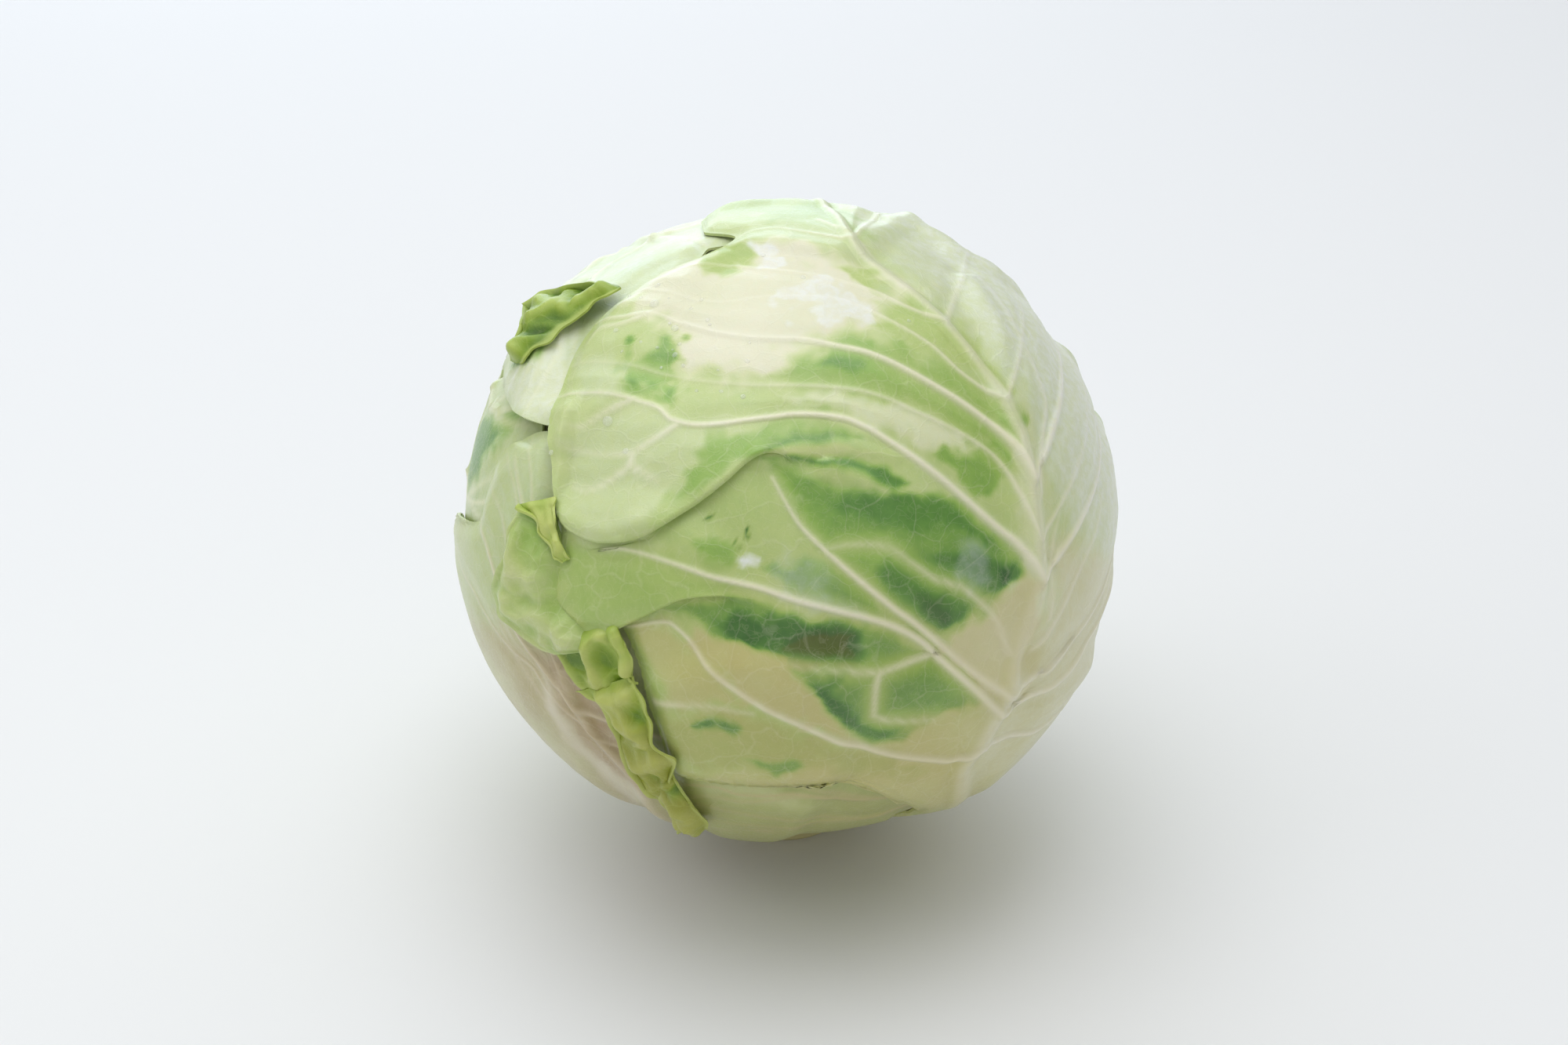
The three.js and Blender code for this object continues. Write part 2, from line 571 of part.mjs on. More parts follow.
// The front leaf's crumpled rim: a ruffle with a raised middle, sunk into the blade
function rimOf(order) {
  const across = [0, 0.25, 0.5, 0.75, 1];
  const left = RIM_STEPS.map(({ left: pixel }) => seen(pixel));
  const right = RIM_STEPS.map(({ right: pixel }) => seen(pixel));
  const lifts = RIM_STEPS.map(({ lift }) => [lift]);
  const steps = 2 * (RIM_STEPS.length - 1);
  const grid = [];
  for (let n = steps; n >= 0; n -= 1) {
    const [a, b] = [between(left, n / 2), between(right, n / 2)];
    const [lift] = between(lifts, n / 2);
    grid.push(
      across.map((t) => {
        const direction = directionOf(a.map((value, k) => value + (b[k] - value) * t));
        const ground = stackUnder(order, direction) + GAP;
        const arch = RIM_EDGE_LIFT + (lift - RIM_EDGE_LIFT) * Math.sin(Math.PI * t);
        return { direction, low: ground + BLADE - RIM_ROOT_DEPTH, high: ground + BLADE + arch };
      }),
    );
  }
  return shellBetween(grid);
}

// Joining solids

function solidOf(geometry) {
  const merged = mergeVertices(geometry, 1e-4);
  return new wasm.Manifold(
    new wasm.Mesh({
      numProp: 3,
      vertProperties: merged.attributes.position.array,
      triVerts: new Uint32Array(merged.index.array),
    }),
  );
}

function geometryOf(solid) {
  const mesh = solid.getMesh();
  const geometry = new THREE.BufferGeometry();
  geometry.setAttribute("position", new THREE.BufferAttribute(new Float32Array(mesh.vertProperties), 3));
  geometry.setIndex(new THREE.BufferAttribute(new Uint32Array(mesh.triVerts), 1));
  geometry.computeVertexNormals();
  return geometry;
}

// The heart and the stem

const HEART_SEGMENTS = 32;
const HEART_RINGS = 18;

function heartGeometry() {
  const geometry = new THREE.SphereGeometry(1, HEART_SEGMENTS, HEART_RINGS);
  geometry.deleteAttribute("normal");
  geometry.deleteAttribute("uv");
  geometry.rotateX(Math.PI / 2);
  geometry.scale(HEART_HALF_WIDTH, HEART_HALF_WIDTH, HEART_HALF_HEIGHT);
  geometry.translate(0, 0, CENTRE_HEIGHT);
  return mergeVertices(geometry, 1e-3);
}

function stemGeometry() {
  const top = CENTRE_HEIGHT - HEART_HALF_HEIGHT - GAP;
  const outline = [
    [0, 0],
    [STEM_RADIUS - STEM_CUT_BEVEL, 0],
    [STEM_RADIUS, STEM_CUT_BEVEL],
    [STEM_RADIUS, top / 2],
    [STEM_RADIUS + STEM_FLARE, top],
    [0, top],
  ].map(([x, y]) => new THREE.Vector2(x, y));
  const geometry = new THREE.LatheGeometry(outline, 32);
  geometry.deleteAttribute("normal");
  geometry.deleteAttribute("uv");
  geometry.rotateX(Math.PI / 2);
  return mergeVertices(geometry, 1e-3);
}

// Materials and the group

const material = (color, roughness = 0.45) =>
  new THREE.MeshStandardMaterial({ color, roughness, metalness: 0 });
const PALE_GREEN = 0xb9c79a;
const CREAM_GREEN = 0xc4c6a4;
const COLOURS = {
  inner_head: material(0xdfe0bf, 0.6),
  stem: material(0xe2dcc0, 0.7),
  front_leaf: material(0xa9bf80),
  left_leaf: material(CREAM_GREEN),
  lower_leaf: material(0xa3a077),
};

const group = new THREE.Group();
function add(name, geometry) {
  const mesh = new THREE.Mesh(geometry, COLOURS[name] ?? material(PALE_GREEN));
  mesh.name = name;
  group.add(mesh);
}

add("stem", stemGeometry());
add("inner_head", heartGeometry());
leaves.forEach((leaf, order) => {
  let solid = solidOf(bladeOf(leaf, order));
  if (leaf.name === "front_leaf") solid = solid.add(solidOf(rimOf(order)));
  add(leaf.name, geometryOf(solid));
});

export default group;
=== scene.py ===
# %% [markdown]
# # A head of white cabbage
# A cabbage is a ball of leaves. Each leaf wraps over the ones inside it, so only the last few show,
# and they meet in one short stem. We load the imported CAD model, which fixes every size, and build a
# finer leaf in the place of each CAD leaf. All lengths in the helpers are millimetres, as on a
# drawing, and they become metres only when a mesh is written.

import math

import bmesh
import bpy
import numpy as np
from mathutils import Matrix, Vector, kdtree, noise


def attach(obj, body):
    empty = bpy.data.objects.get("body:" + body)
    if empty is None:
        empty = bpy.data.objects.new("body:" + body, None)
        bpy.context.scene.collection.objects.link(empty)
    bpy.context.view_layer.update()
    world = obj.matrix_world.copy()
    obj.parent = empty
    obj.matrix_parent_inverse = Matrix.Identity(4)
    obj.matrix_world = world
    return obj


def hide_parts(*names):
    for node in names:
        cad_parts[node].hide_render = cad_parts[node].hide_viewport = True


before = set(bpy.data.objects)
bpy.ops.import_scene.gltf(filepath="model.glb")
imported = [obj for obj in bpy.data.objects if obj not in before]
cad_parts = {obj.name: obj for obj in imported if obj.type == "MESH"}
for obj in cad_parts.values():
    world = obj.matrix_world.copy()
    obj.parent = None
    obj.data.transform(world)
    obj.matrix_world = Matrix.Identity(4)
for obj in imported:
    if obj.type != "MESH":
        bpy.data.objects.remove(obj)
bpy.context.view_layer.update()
MM = 0.001
print("CAD nodes:", sorted(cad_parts))

# %% [markdown]
# ## Where a place on the photograph lies on the head
# The leaves are drawn from one photograph. A camera model turns a pixel into a direction from the
# head's centre, by following the pixel's ray to an ellipsoid. We could place points by eye in the
# viewport, but a written camera keeps the CAD and this scene in step, and it later places our own
# camera too.

# %% The head's sizes and the view
CENTRE = np.array([0.0, 0.0, 97.0])
HEART = np.array([88.0, 88.0, 84.0])
WRAPPED = np.array([95.5, 95.5, 91.5])
BLADE, GAP = 1.0, 1.45
LAYER = BLADE + GAP

PHOTO_CENTRE = (1000.0, 667.5)
MM_PER_PIXEL = 0.224
ELEVATION = math.radians(28)
DISTANCE = 760.0
ACROSS = np.array([1.0, 0.0, 0.0])
UPWARD = np.array([0.0, math.sin(ELEVATION), math.cos(ELEVATION)])
TO_CAMERA = np.array([0.0, -math.cos(ELEVATION), math.sin(ELEVATION)])


def unit(vectors):
    return vectors / np.linalg.norm(vectors, axis=-1, keepdims=True)


def seen(column, row, lift=0.0):
    """The point [x, y, z, lift] of the head that the photograph shows at a pixel."""
    eye = TO_CAMERA * DISTANCE
    target = ACROSS * (column - PHOTO_CENTRE[0]) * MM_PER_PIXEL
    target = target + UPWARD * (PHOTO_CENTRE[1] - row) * MM_PER_PIXEL
    ray = target - eye
    start, along = eye / WRAPPED, ray / WRAPPED
    a, b, c = along @ along, start @ along, start @ start - 1
    reach = (-b - math.sqrt(max(0.0, b * b - a * c))) / a
    return np.append(unit(eye + ray * reach), lift)


def at(azimuth, latitude, lift=0.0):
    """The same kind of point by azimuth, from the front towards the right, and latitude."""
    turn, rise = math.radians(azimuth), math.radians(latitude)
    flat = math.cos(rise)
    return np.array([flat * math.sin(turn), -flat * math.cos(turn), math.sin(rise), lift])


def points(text):
    """Reads places written as 'column,row,lift' or '@azimuth,latitude,lift'."""
    found = []
    for word in text.split():
        make = at if word[0] == "@" else seen
        found.append(make(*(float(number) for number in word.lstrip("@").split(","))))
    return found


def pixels(directions, radius):
    """Where directions at a radius from the centre appear in the photograph, and how they face."""
    place = directions * np.asarray(radius)[..., None]
    scale = DISTANCE / (DISTANCE - place @ TO_CAMERA) / MM_PER_PIXEL
    column = PHOTO_CENTRE[0] + place @ ACROSS * scale
    row = PHOTO_CENTRE[1] - place @ UPWARD * scale
    return column, row, directions @ TO_CAMERA


def heart_radius(directions):
    return 1 / np.sqrt(((directions / HEART) ** 2).sum(axis=-1))


def smoothstep(start, end, x):
    t = np.clip((x - start) / (end - start), 0, 1)
    return t * t * (3 - 2 * t)


print("the photo's middle looks at", np.round(seen(*PHOTO_CENTRE), 2))

# %% [markdown]
# ## A leaf as a net of side veins
# A cabbage leaf is ruled by its veins: side veins run from the midrib out to the edge. So we write
# each leaf as a few lines across it, from the stem to the tip, each with a place on the midrib and
# places on the way to the right and to the left edge. A smooth curve goes through them, of the kind
# that never swings past its points, which keeps fine folds from crossing each other.

# %% Curves and nets


def smooth(values, positions):
    """Values on a curve through the first axis of an array, with no overshoot."""
    step = np.diff(values, axis=0)
    slope = np.empty_like(values)
    slope[0], slope[-1] = step[0], step[-1]
    same = step[:-1] * step[1:] > 0
    total = np.where(same, step[:-1] + step[1:], 1)
    slope[1:-1] = np.where(same, 2 * step[:-1] * step[1:] / total, 0)
    first = np.clip(np.floor(positions).astype(int), 0, len(values) - 2)
    shape = (-1,) + (1,) * (values.ndim - 1)
    f = (positions - first).reshape(shape)
    f2, f3 = f * f, f * f * f
    rise = step[first] * (3 * f2 - 2 * f3)
    return values[first] + rise + slope[first] * (f3 - 2 * f2 + f) + slope[first + 1] * (f3 - f2)


def gaps(line):
    return np.linalg.norm(np.diff(line[..., :3], axis=0), axis=-1) * WRAPPED[0]


def evenly(line, count):
    """The same line with count + 1 points, evenly spaced."""
    line = np.array(line)
    run = np.concatenate([[0], np.cumsum(gaps(line))])
    wanted = np.linspace(0, run[-1], count + 1)
    return smooth(line, np.interp(wanted, run, np.arange(len(line))))


def crossing(midrib, right, left, columns):
    """One line across a leaf, from the left edge over the midrib to the right edge."""
    middle = points(midrib)
    to_left = evenly(middle + points(left), columns)
    to_right = evenly(middle + points(right), columns)
    return np.concatenate([to_left[::-1], to_right[1:]])


ROOT_RING_RADIUS = 22.0
ROOT_LATITUDE = -math.degrees(math.acos(ROOT_RING_RADIUS / (HEART[0] + LAYER)))
ROOT_SPREAD = 34.0


def root_row(azimuth, columns):
    sides = np.linspace(-1, 1, 2 * columns + 1)
    return np.array([at(azimuth + ROOT_SPREAD * side, ROOT_LATITUDE) for side in sides])


print("the leaves clasp the stem at latitude", round(ROOT_LATITUDE, 1))

# %% [markdown]
# ## Folds
# The front leaf is too large for the ball, so it lies in two folds. A real fold is a lip: the sheet
# runs under, turns round a soft edge and comes back on top. One line of the net marks the lip, and
# we put five in its place: two tucked behind the lip and low, and three that round it. Where the lip's
# lift falls away, the five lines spread out flat in their order and the fold dies out in the sheet.

# %% Build the net of a drawn leaf
TUCK_DEPTH = 5.0
LIP_ROUND = 1.3
FULL_LIFT = 2.0
FLAT_STEP = 0.9
# how far behind the lip each of the five lines lies, and its share of the lip's lift
LIP_SECTION = ((TUCK_DEPTH, 0.0), (LIP_ROUND, 0.12), (0.25, 0.4), (0.0, 0.75), (LIP_ROUND, 1.0))
LIP_LINE = 3
FOLD_STARTS, FOLD_FULL = 0.3, 0.8
LEAD_IN = 0.2
LONGEST_MOVE = 0.9


def towards(line, other, distance):
    """A line moved by a distance in millimetres, for each of its points, towards another line."""
    apart = np.linalg.norm(line[:, :3] - other[:, :3], axis=1) * WRAPPED[0] + 1e-6
    share = np.clip(distance / apart, 0, LONGEST_MOVE)[:, None]
    moved = line + (other - line) * share
    moved[:, 3] = line[:, 3]
    return moved


def fold_lines(lip, below, above):
    """The lines that lead into a lip, from the low one behind it to the one that rounds it."""
    left_half = (np.arange(len(lip)) < len(lip) // 2).astype(float)
    strength = np.clip(lip[:, 3] / FULL_LIFT, 0, 1) * left_half
    folded = smoothstep(FOLD_STARTS, FOLD_FULL, strength)
    start = np.minimum(below[:, 3], lip[:, 3] * LEAD_IN)
    lines = []
    for number, (back, height) in enumerate(LIP_SECTION):
        offset = (number - LIP_LINE) * FLAT_STEP * (1 - folded) + back * folded
        line = towards(towards(lip, above, np.maximum(offset, 0)), below, np.maximum(-offset, 0))
        rise = 1 - (1 - height) * left_half
        line[:, 3] = start * (1 - rise) + lip[:, 3] * rise
        lines.append(line)
    return lines


def drawn_net(lines, columns, root):
    """The net of a leaf, and the kind of each of its rows that is a side vein."""
    rows = [crossing(midrib, right, left, columns) for _, midrib, right, left in lines]
    net, veins = [root_row(root, columns)], {}
    for number, (row, (kind, *_)) in enumerate(zip(rows, lines)):
        if kind == "fold":
            net += fold_lines(row, rows[number - 1], rows[number + 1])
            continue
        if kind != "flat":
            veins[len(net)] = kind
        net.append(row)
    return np.array(net), veins


print("one fold takes up", len(LIP_SECTION), "lines of a net")

# %% [markdown]
# ## The front leaf
# This is the leaf that makes this head recognisable. Its midrib climbs the right side and goes over
# the top, and its left half is laid across the front. Each line gives its kind, the midrib, the right
# edge and the way to the left edge, in the photograph's pixels or, where it is hidden, in degrees
# after an @ sign. A third number lifts the leaf there by that many millimetres. A line can be flat
# blade, a vein, a thin vein or the lip of a fold, and a number after the colon ends the vein at that
# share of the way to the left edge.

# %% Lines of the front leaf
FRONT_LEAF = [
    ("flat", "@54,-62", "@80,-64", "@38,-63"),
    ("flat", "@46,-44", "@88,-50", "@36,-44"),
    ("flat", "1230,990", "@91,-39", "1180,997 1120,1003 1050,1006"),
    ("flat", "1234,981", "@92,-34", "1180,988 1130,988 1073,988 988,988 913,990 862,994"),
    ("flat", "1240,972", "@93,-28", "1180,981 1130,976 1080,968 1000,957 925,940 836,930"),
    ("vein", "1252,955", "@94,-22",
     "1225,973 1180,975 1130,968 1080,950 1030,928 980,905 940,880 900,850 870,815 845,797 "
     "782,806"),
    ("fold", "1268,928", "@95,-15,1.4",
     "1225,880 1160,835 1080,805 1000,778 925,763,1.2 880,764,2 820,788,2.2 760,818,2"),
    ("flat", "1273,920", "@96,-10,0.4",
     "1235,880 1170,827 1090,797 1010,772 930,750,0.8 850,748,1.8 770,772,2 730,778,1.8 "
     "700,765,1.4"),
    ("vein:0.86", "1278,912", "@97,-4,1.6",
     "1250,885 1210,850 1180,823 1130,800 1070,785 1020,772 960,750,0.5 900,735,1.2 "
     "860,720,1.4 795,700,1.2 740,706,1 698,710,0.8"),
    ("vein:0.6", "1290,890", "@98,2,0.4",
     "1255,868 1215,835 1180,805 1140,776 1100,743 1060,708 1020,668 1000,635 985,607 968,590 "
     "925,620,0.4 870,657,0.6 805,690,0.6 745,697,0.6 700,680,0.6"),
    ("fold", "1322,800", "@99,8,2",
     "1310,738 1280,702 1238,668 1180,630 1120,604 1060,590,0.3 1010,580,0.9 975,575,1.6 935,605,2.6 "
     "880,648,3.2 830,681,3.2 790,692,3.2 745,688,2.9 710,662,2.5"),
    ("flat", "1328,770", "@100,14,2.2",
     "1311,718 1282,686 1244,654 1184,606 1128,572 1078,548 1010,546,0.5 950,562,1.4 890,597,2.4 "
     "840,630,2.8 785,656,2.6 745,652,2.5 705,632,2.3"),
    ("vein", "1331,740", "@102,20,0.6",
     "1312,700 1285,672 1250,640 1190,590 1140,555 1080,525 1020,520 960,528,0.5 900,536,1 "
     "857,533,1.4 840,517,1.4 800,503,1.2 760,498,1 704,502,0.4"),
    ("thin", "1330,690", "@104,27,2",
     "1319,652 1304,610 1282,575 1227,538 1181,517 1123,492 1060,482 980,480 900,475 820,462 "
     "760,455 714,458"),
    ("vein", "1322,610", "@107,34,0.5",
     "1309,578 1286,542 1245,508 1200,480 1156,456 1108,436 1064,426 1032,418 975,416 923,411 "
     "880,402 829,391 790,397 750,400"),
    ("thin", "1290,505", "@114,42,1.8",
     "1246,470 1196,426 1146,395 1103,372 1069,362 971,360 928,368 880,366 840,362 796,360"),
    ("thin", "1215,400", "@128,46,0.5", "1170,378 1120,352 1060,334 988,324 919,320 880,328 836,334"),
    ("flat", "1130,330", "@144,48,1.4", "1100,319 1060,307 1015,299 975,296 935,300 893,310"),
    ("thin", "1088,300", "@152,47", "1058,292 1022,284 985,279 935,286"),
    ("flat", "@166,62", "@160,46", "@176,68 @-165,72 @-120,73"),
    ("flat", "@179,49", "@172,47", "@-172,53 @-160,58 @-145,63"),
]
print("front leaf lines:", len(FRONT_LEAF))

# %% [markdown]
# ## The three other leaves that the photograph shows
# The left leaf has a thick pale rib at its foot and fine veins that fan upwards. The upper left leaf
# comes round from behind and hangs a lobe with a curled rim over the shoulder. The lower leaf shows
# only as a strip under the front leaf. They are written in the same way.

# %% Lines of the left, upper left and lower leaves
LEFT_LEAF = [
    ("flat", "@-37,-66", "@-16,-66", "@-58,-62 @-76,-57"),
    ("flat", "@-33,-47", "@-8,-52", "@-60,-44 @-82,-38 @-93,-34"),
    ("flat", "796,1003", "@-2,-38", "735,972 @-58,-28 @-80,-21 @-97,-16"),
    ("thin", "748,950", "@2,-26", "705,908 672,857 638,827 611,790 590,749 @-92,0,0.6"),
    ("vein", "724,912", "@5,-14", "705,888 678,847 648,803 628,749 611,695 598,660,0.2"),
    ("thin", "702,860", "@6,-3", "680,812 655,765 640,710 628,650 613,610,0.8"),
    ("thin", "684,800", "@2,7", "666,745 654,690 648,630 640,571,1.6"),
    ("thin", "676,735", "@-8,16", "669,670 668,610 666,549,1.2"),
    ("flat", "686,670", "@-20,24", "692,605 702,541,0.6"),
]
UPPER_LEFT_LEAF = [
    ("flat", "@-138,-58", "@-112,-54", "@-172,-52"),
    ("vein", "@-137,-36", "@-105,-28", "@-168,-38 @163,-24"),
    ("vein", "@-137,-14", "@-103,-5", "@-170,-12 @155,0"),
    ("vein", "@-137,8", "@-104,15", "@-170,13 @153,24"),
    ("vein", "@-137,28", "@-118,32 @-103,32,1", "@-172,34 @150,44"),
    ("vein", "@-136,44", "@-115,44 688,425,3 664,470,2.4 641,507,1.6", "@-178,51 @144,58"),
    ("vein", "@-132,56", "@-112,52 715,400,2.6 700,445,1.6 680,490,1 668,532,1.4", "@178,66 @136,68"),
    ("flat", "@-122,67", "@-95,60 765,365,1 745,430 728,485 712,533", "@-176,76 @120,76"),
    ("flat", "@-100,76", "@-62,68 800,400 780,470", "@-110,86 @80,80"),
]
LOWER_LEAF = [
    ("flat", "@42,-67", "@62,-66", "@15,-68 @-8,-67 @-20,-66"),
    ("flat", "@40,-52", "@66,-58", "@16,-54 @-6,-52 @-22,-50"),
    ("vein", "1182,1040", "@70,-54", "1117,1062 1060,1068 980,1066 905,1056,0.6 868,1048,0.8"),
    ("vein", "1200,1022", "@76,-44", "1117,1040 1073,1037 1016,1023 955,1026 901,1012 852,1012,0.8"),
    ("vein", "1215,1004", "@78,-34", "1171,1009 1129,997 1087,993 1000,975 900,960 840,945"),
    ("flat", "1240,955", "@72,-22", "1100,935 960,912 858,900"),
    ("flat", "1225,900", "@58,-14", "1100,890 980,880 900,880"),
]
print("lines:", len(LEFT_LEAF), len(UPPER_LEFT_LEAF), len(LOWER_LEAF))

# %% [markdown]
# ## The leaves that only close the head
# Three wrapper leaves lie mostly hidden. They follow one plan: a cabbage leaf spread flat, as side
# veins that start on the midrib and end at the edge, in degrees of arc. Each leaf turns and scales it.

# %% A leaf by rule
# how high a vein starts on the midrib, then how far out and how high it ends
PLAN = (
    (-58, 34, -54), (-40, 52, -30), (-20, 62, -4), (2, 62, 22),
    (24, 53, 44), (45, 37, 60), (66, 14, 68),
)
VEIN_BOW = 5.0
EDGE_WAVE_SHARE, WAVE_TURN, LIFT_TURN = 0.05, 2.4, 2.1


def planned_net(azimuth, latitude, width, height, phase, edge_lift, columns):
    middle, north = at(azimuth, latitude)[:3], at(azimuth, latitude + 90)[:3]
    east = np.cross(north, middle)

    def place(across, up, lift):
        arc = math.hypot(across, up) or 1e-9
        angle = math.radians(arc)
        heading = east * across / arc + north * up / arc
        return np.append(middle * math.cos(angle) + heading * math.sin(angle), lift)

    net = [root_row(azimuth, columns)]
    for i, (midrib, edge_across, edge_up) in enumerate(PLAN):
        row = []
        for c in range(-columns, columns + 1):
            side, t = (1 if c > 0 else -1), abs(c) / columns
            reach = edge_across * width * (1 + EDGE_WAVE_SHARE * math.sin(phase + WAVE_TURN * i + side))
            lift = edge_lift * (1 + math.sin(phase * 2 + LIFT_TURN * i + side))
            rise = midrib + (edge_up - midrib) * t - VEIN_BOW * 4 * t * (1 - t)
            row.append(place(side * reach * t, rise * height, lift * float(smoothstep(0.6, 1, t))))
        net.append(np.array(row))
    return np.array(net), dict.fromkeys(range(1, len(PLAN)), "vein")


# azimuth and latitude of the middle, width, height, phase of the waves, lift of the edge
HIDDEN_LEAVES = {
    "right_leaf": (112, -8, 1.0, 0.9, 0.4, 0.5),
    "back_leaf": (172, -2, 1.0, 0.94, 1.7, 0.5),
    "far_left_leaf": (-98, -14, 0.8, 0.86, 2.9, 1.4),
}
HIDDEN_COLUMNS, DRAWN_COLUMNS, FRONT_COLUMNS = 10, 12, 24  # on each side of the midrib
# lines, and the azimuth at which the leaf leaves the stem
DRAWN_LEAVES = {
    "left_leaf": (LEFT_LEAF, -38),
    "upper_left_leaf": (UPPER_LEFT_LEAF, -140),
    "lower_leaf": (LOWER_LEAF, 32),
    "front_leaf": (FRONT_LEAF, 62),
}
nets = {name: planned_net(*plan, HIDDEN_COLUMNS) for name, plan in HIDDEN_LEAVES.items()}
for name, (lines, root) in DRAWN_LEAVES.items():
    nets[name] = drawn_net(lines, FRONT_COLUMNS if name == "front_leaf" else DRAWN_COLUMNS, root)
ORDER = list(nets)
print("from the inside out:", ORDER)

# %% [markdown]
# ## How the leaves lie on each other
# A leaf lies on every leaf under it. Physics could settle them, but leaves that are pushed together
# by a solver still cross. Instead each leaf's outline is turned into a reach in each direction from
# its middle, and a leaf rises by one layer where it lies on another, with a soft step at that one's
# edge. Leaves made this way can't cross.

# %% Heights of the layers
SECTORS = 90
STEP_START, STEP_END = 2.0, 13.0
PRESSED_END, FREE_START = 3.0, 11.0
POINTS_PER_CELL = 12


def border(net):
    """Points all round a net's edge."""
    lines = (net[:, 0], net[:, -1], net[0], net[-1])
    finer = [np.linspace(0, len(line) - 1, POINTS_PER_CELL * len(line)) for line in lines]
    return np.concatenate([smooth(line, along) for line, along in zip(lines, finer)])


def footprint(net):
    """A function that gives how far directions lie beyond a leaf's edge, in millimetres."""
    middle = unit(unit(net[..., :3]).sum(axis=(0, 1)))
    east = unit(np.cross([0, 0, 1], middle))
    north = np.cross(middle, east)

    def polar(directions):
        arc = np.arccos(np.clip(directions @ middle, -1, 1)) * WRAPPED[0]
        turn = np.arctan2(directions @ north, directions @ east) / (2 * math.pi)
        return arc, (turn + 1) * SECTORS % SECTORS

    reach = np.zeros(SECTORS)
    arc, sector = polar(unit(border(net)[:, :3]))
    for whole in (np.floor(sector), np.ceil(sector)):
        np.maximum.at(reach, whole.astype(int) % SECTORS, arc)

    def beyond(directions):
        arc, sector = polar(directions)
        low = np.floor(sector).astype(int) % SECTORS
        part = sector - np.floor(sector)
        return arc - (reach[low] * (1 - part) + reach[(low + 1) % SECTORS] * part)

    return beyond


beyond_edge = {name: footprint(net) for name, (net, _) in nets.items()}


def stack_under(name, directions):
    """The height in millimetres of the leaves that lie under one."""
    height = np.zeros(directions.shape[:-1])
    for under in ORDER[: ORDER.index(name)]:
        height += LAYER * (1 - smoothstep(STEP_START, STEP_END, beyond_edge[under](directions)))
    return height


def freedom(name, directions):
    """1 where a leaf is free and 0 where leaves over it press it flat."""
    free = np.ones(directions.shape[:-1])
    for over in ORDER[ORDER.index(name) + 1 :]:
        free *= smoothstep(PRESSED_END, FREE_START, beyond_edge[over](directions))
    return free


layers_under = stack_under("front_leaf", unit(seen(1000, 600)[:3])[None])[0] / LAYER
print("layers under the front leaf's middle:", round(float(layers_under), 1))

# %% [markdown]
# ## Veins
# A vein is a cream ridge that thins towards the edge. We keep each vein as a line of directions with
# a width and a height, and later raise every point of the leaf by its distance to the nearest line.
# The main veins are the net's own rows, and the forks that show on the photograph are drawn as extra
# lines; the other leaves get forks by rule. Two pleats on each lip are raised in the same way. The
# finest veins, a net of small cells, are left to the finish.

# %% Vein lines
# half width at the start and at the end, then height at the start and at the end
SIDE_VEINS = {"vein": (1.5, 0.6, 1.1, 0.3), "thin": (0.9, 0.6, 0.42, 0.1)}
MIDRIB = (4.2, 1.5, 2.7, 1.1)
FORK = (1.1, 0.8, 0.42, 0.16)
SOFT_FORK = (1.5, 1.1, 0.42, 0.15)
PLEAT = (3.4, 1.6, 1.5, 0.5)
LINE_STEP = 0.6


def vein_samples(line, size):
    """A vein's line as rows of direction, half width and height, thinning along it."""
    line = np.array(line)[:, :3]
    count = max(4, int(gaps(line).sum() / LINE_STEP))
    line = evenly(np.column_stack([line, np.zeros(len(line))]), count)[:, :3]
    t = np.linspace(0, 1, len(line))[:, None]
    wide = size[0] + (size[1] - size[0]) * t
    high = size[2] + (size[3] - size[2]) * t
    return np.hstack([unit(line), wide, high])


FRONT_FORKS = (
    "857,537 830,556 801,574 768,574 734,571 711,565",
    "801,574 798,591 768,613 740,624 723,619",
    "798,591 826,607 835,613",
    "1300,840 1280,790 1240,755 1200,740 1170,720 1130,697 1085,697 1050,705",
    "1205,842 1178,850 1125,864 1078,859 999,848",
    "1125,864 1120,890 1118,919 1155,928 1195,926",
    "835,898 900,900 960,910",
    "1334,630 1334,589 1340,544 1342,510 1330,473 1312,435 1240,330",
    "1330,833 1353,796 1383,732 1406,676 1413,630",
    "1293,905 1330,864 1375,818",
    "1345,790 1350,700 1360,650",
    "1045,270 1085,292 1130,322 1170,352",
    "830,391 790,405 756,412 740,430",
    "800,503 770,520 740,540 716,545",
)
FRONT_PLEATS = (
    "968,577 1014,568 1071,564 1125,572 1150,580", "1060,594 1090,602 1123,612 1150,626",
    "812,668 775,680 735,668 704,646", "795,690 757,692 722,674",
)
LEFT_FORKS = (
    "668,700 660,660 652,620 650,585",
    "690,830 672,800 652,760 640,735",
    "705,895 690,900 655,850 628,800",
)
DRAWN_FORKS = {"front_leaf": FRONT_FORKS, "left_leaf": LEFT_FORKS}
# where along a side vein a fork by rule starts, and how many rows it rises
FORK_PLAN = ((0.3, 0.5), (0.55, -0.4))
FORK_END = 0.97


def forks(net, rows, columns, seed):
    """Two forks for each side vein, which run on between it and its neighbours."""
    rng = np.random.default_rng(seed)
    found = []
    for row in rows:
        for side in (-1, 1):
            for start, rise in FORK_PLAN:
                t = np.linspace(0, 1, 9)
                start, rise = start + rng.uniform(-0.1, 0.1), rise * rng.uniform(0.7, 1.1)
                across = columns * (1 + side * (start + (FORK_END - start) * t))
                along = np.clip(row + rise * t**0.8, 0, len(net) - 1.001)
                wide = smooth(np.swapaxes(net, 0, 1), across)
                line = [smooth(wide[k], along[k : k + 1])[0] for k in range(len(t))]
                found.append(vein_samples(line, SOFT_FORK))
    return found


def drawn_lines(lines, size):
    """The samples of lines that are written as places."""
    return [vein_samples(points(line), size) for line in lines]


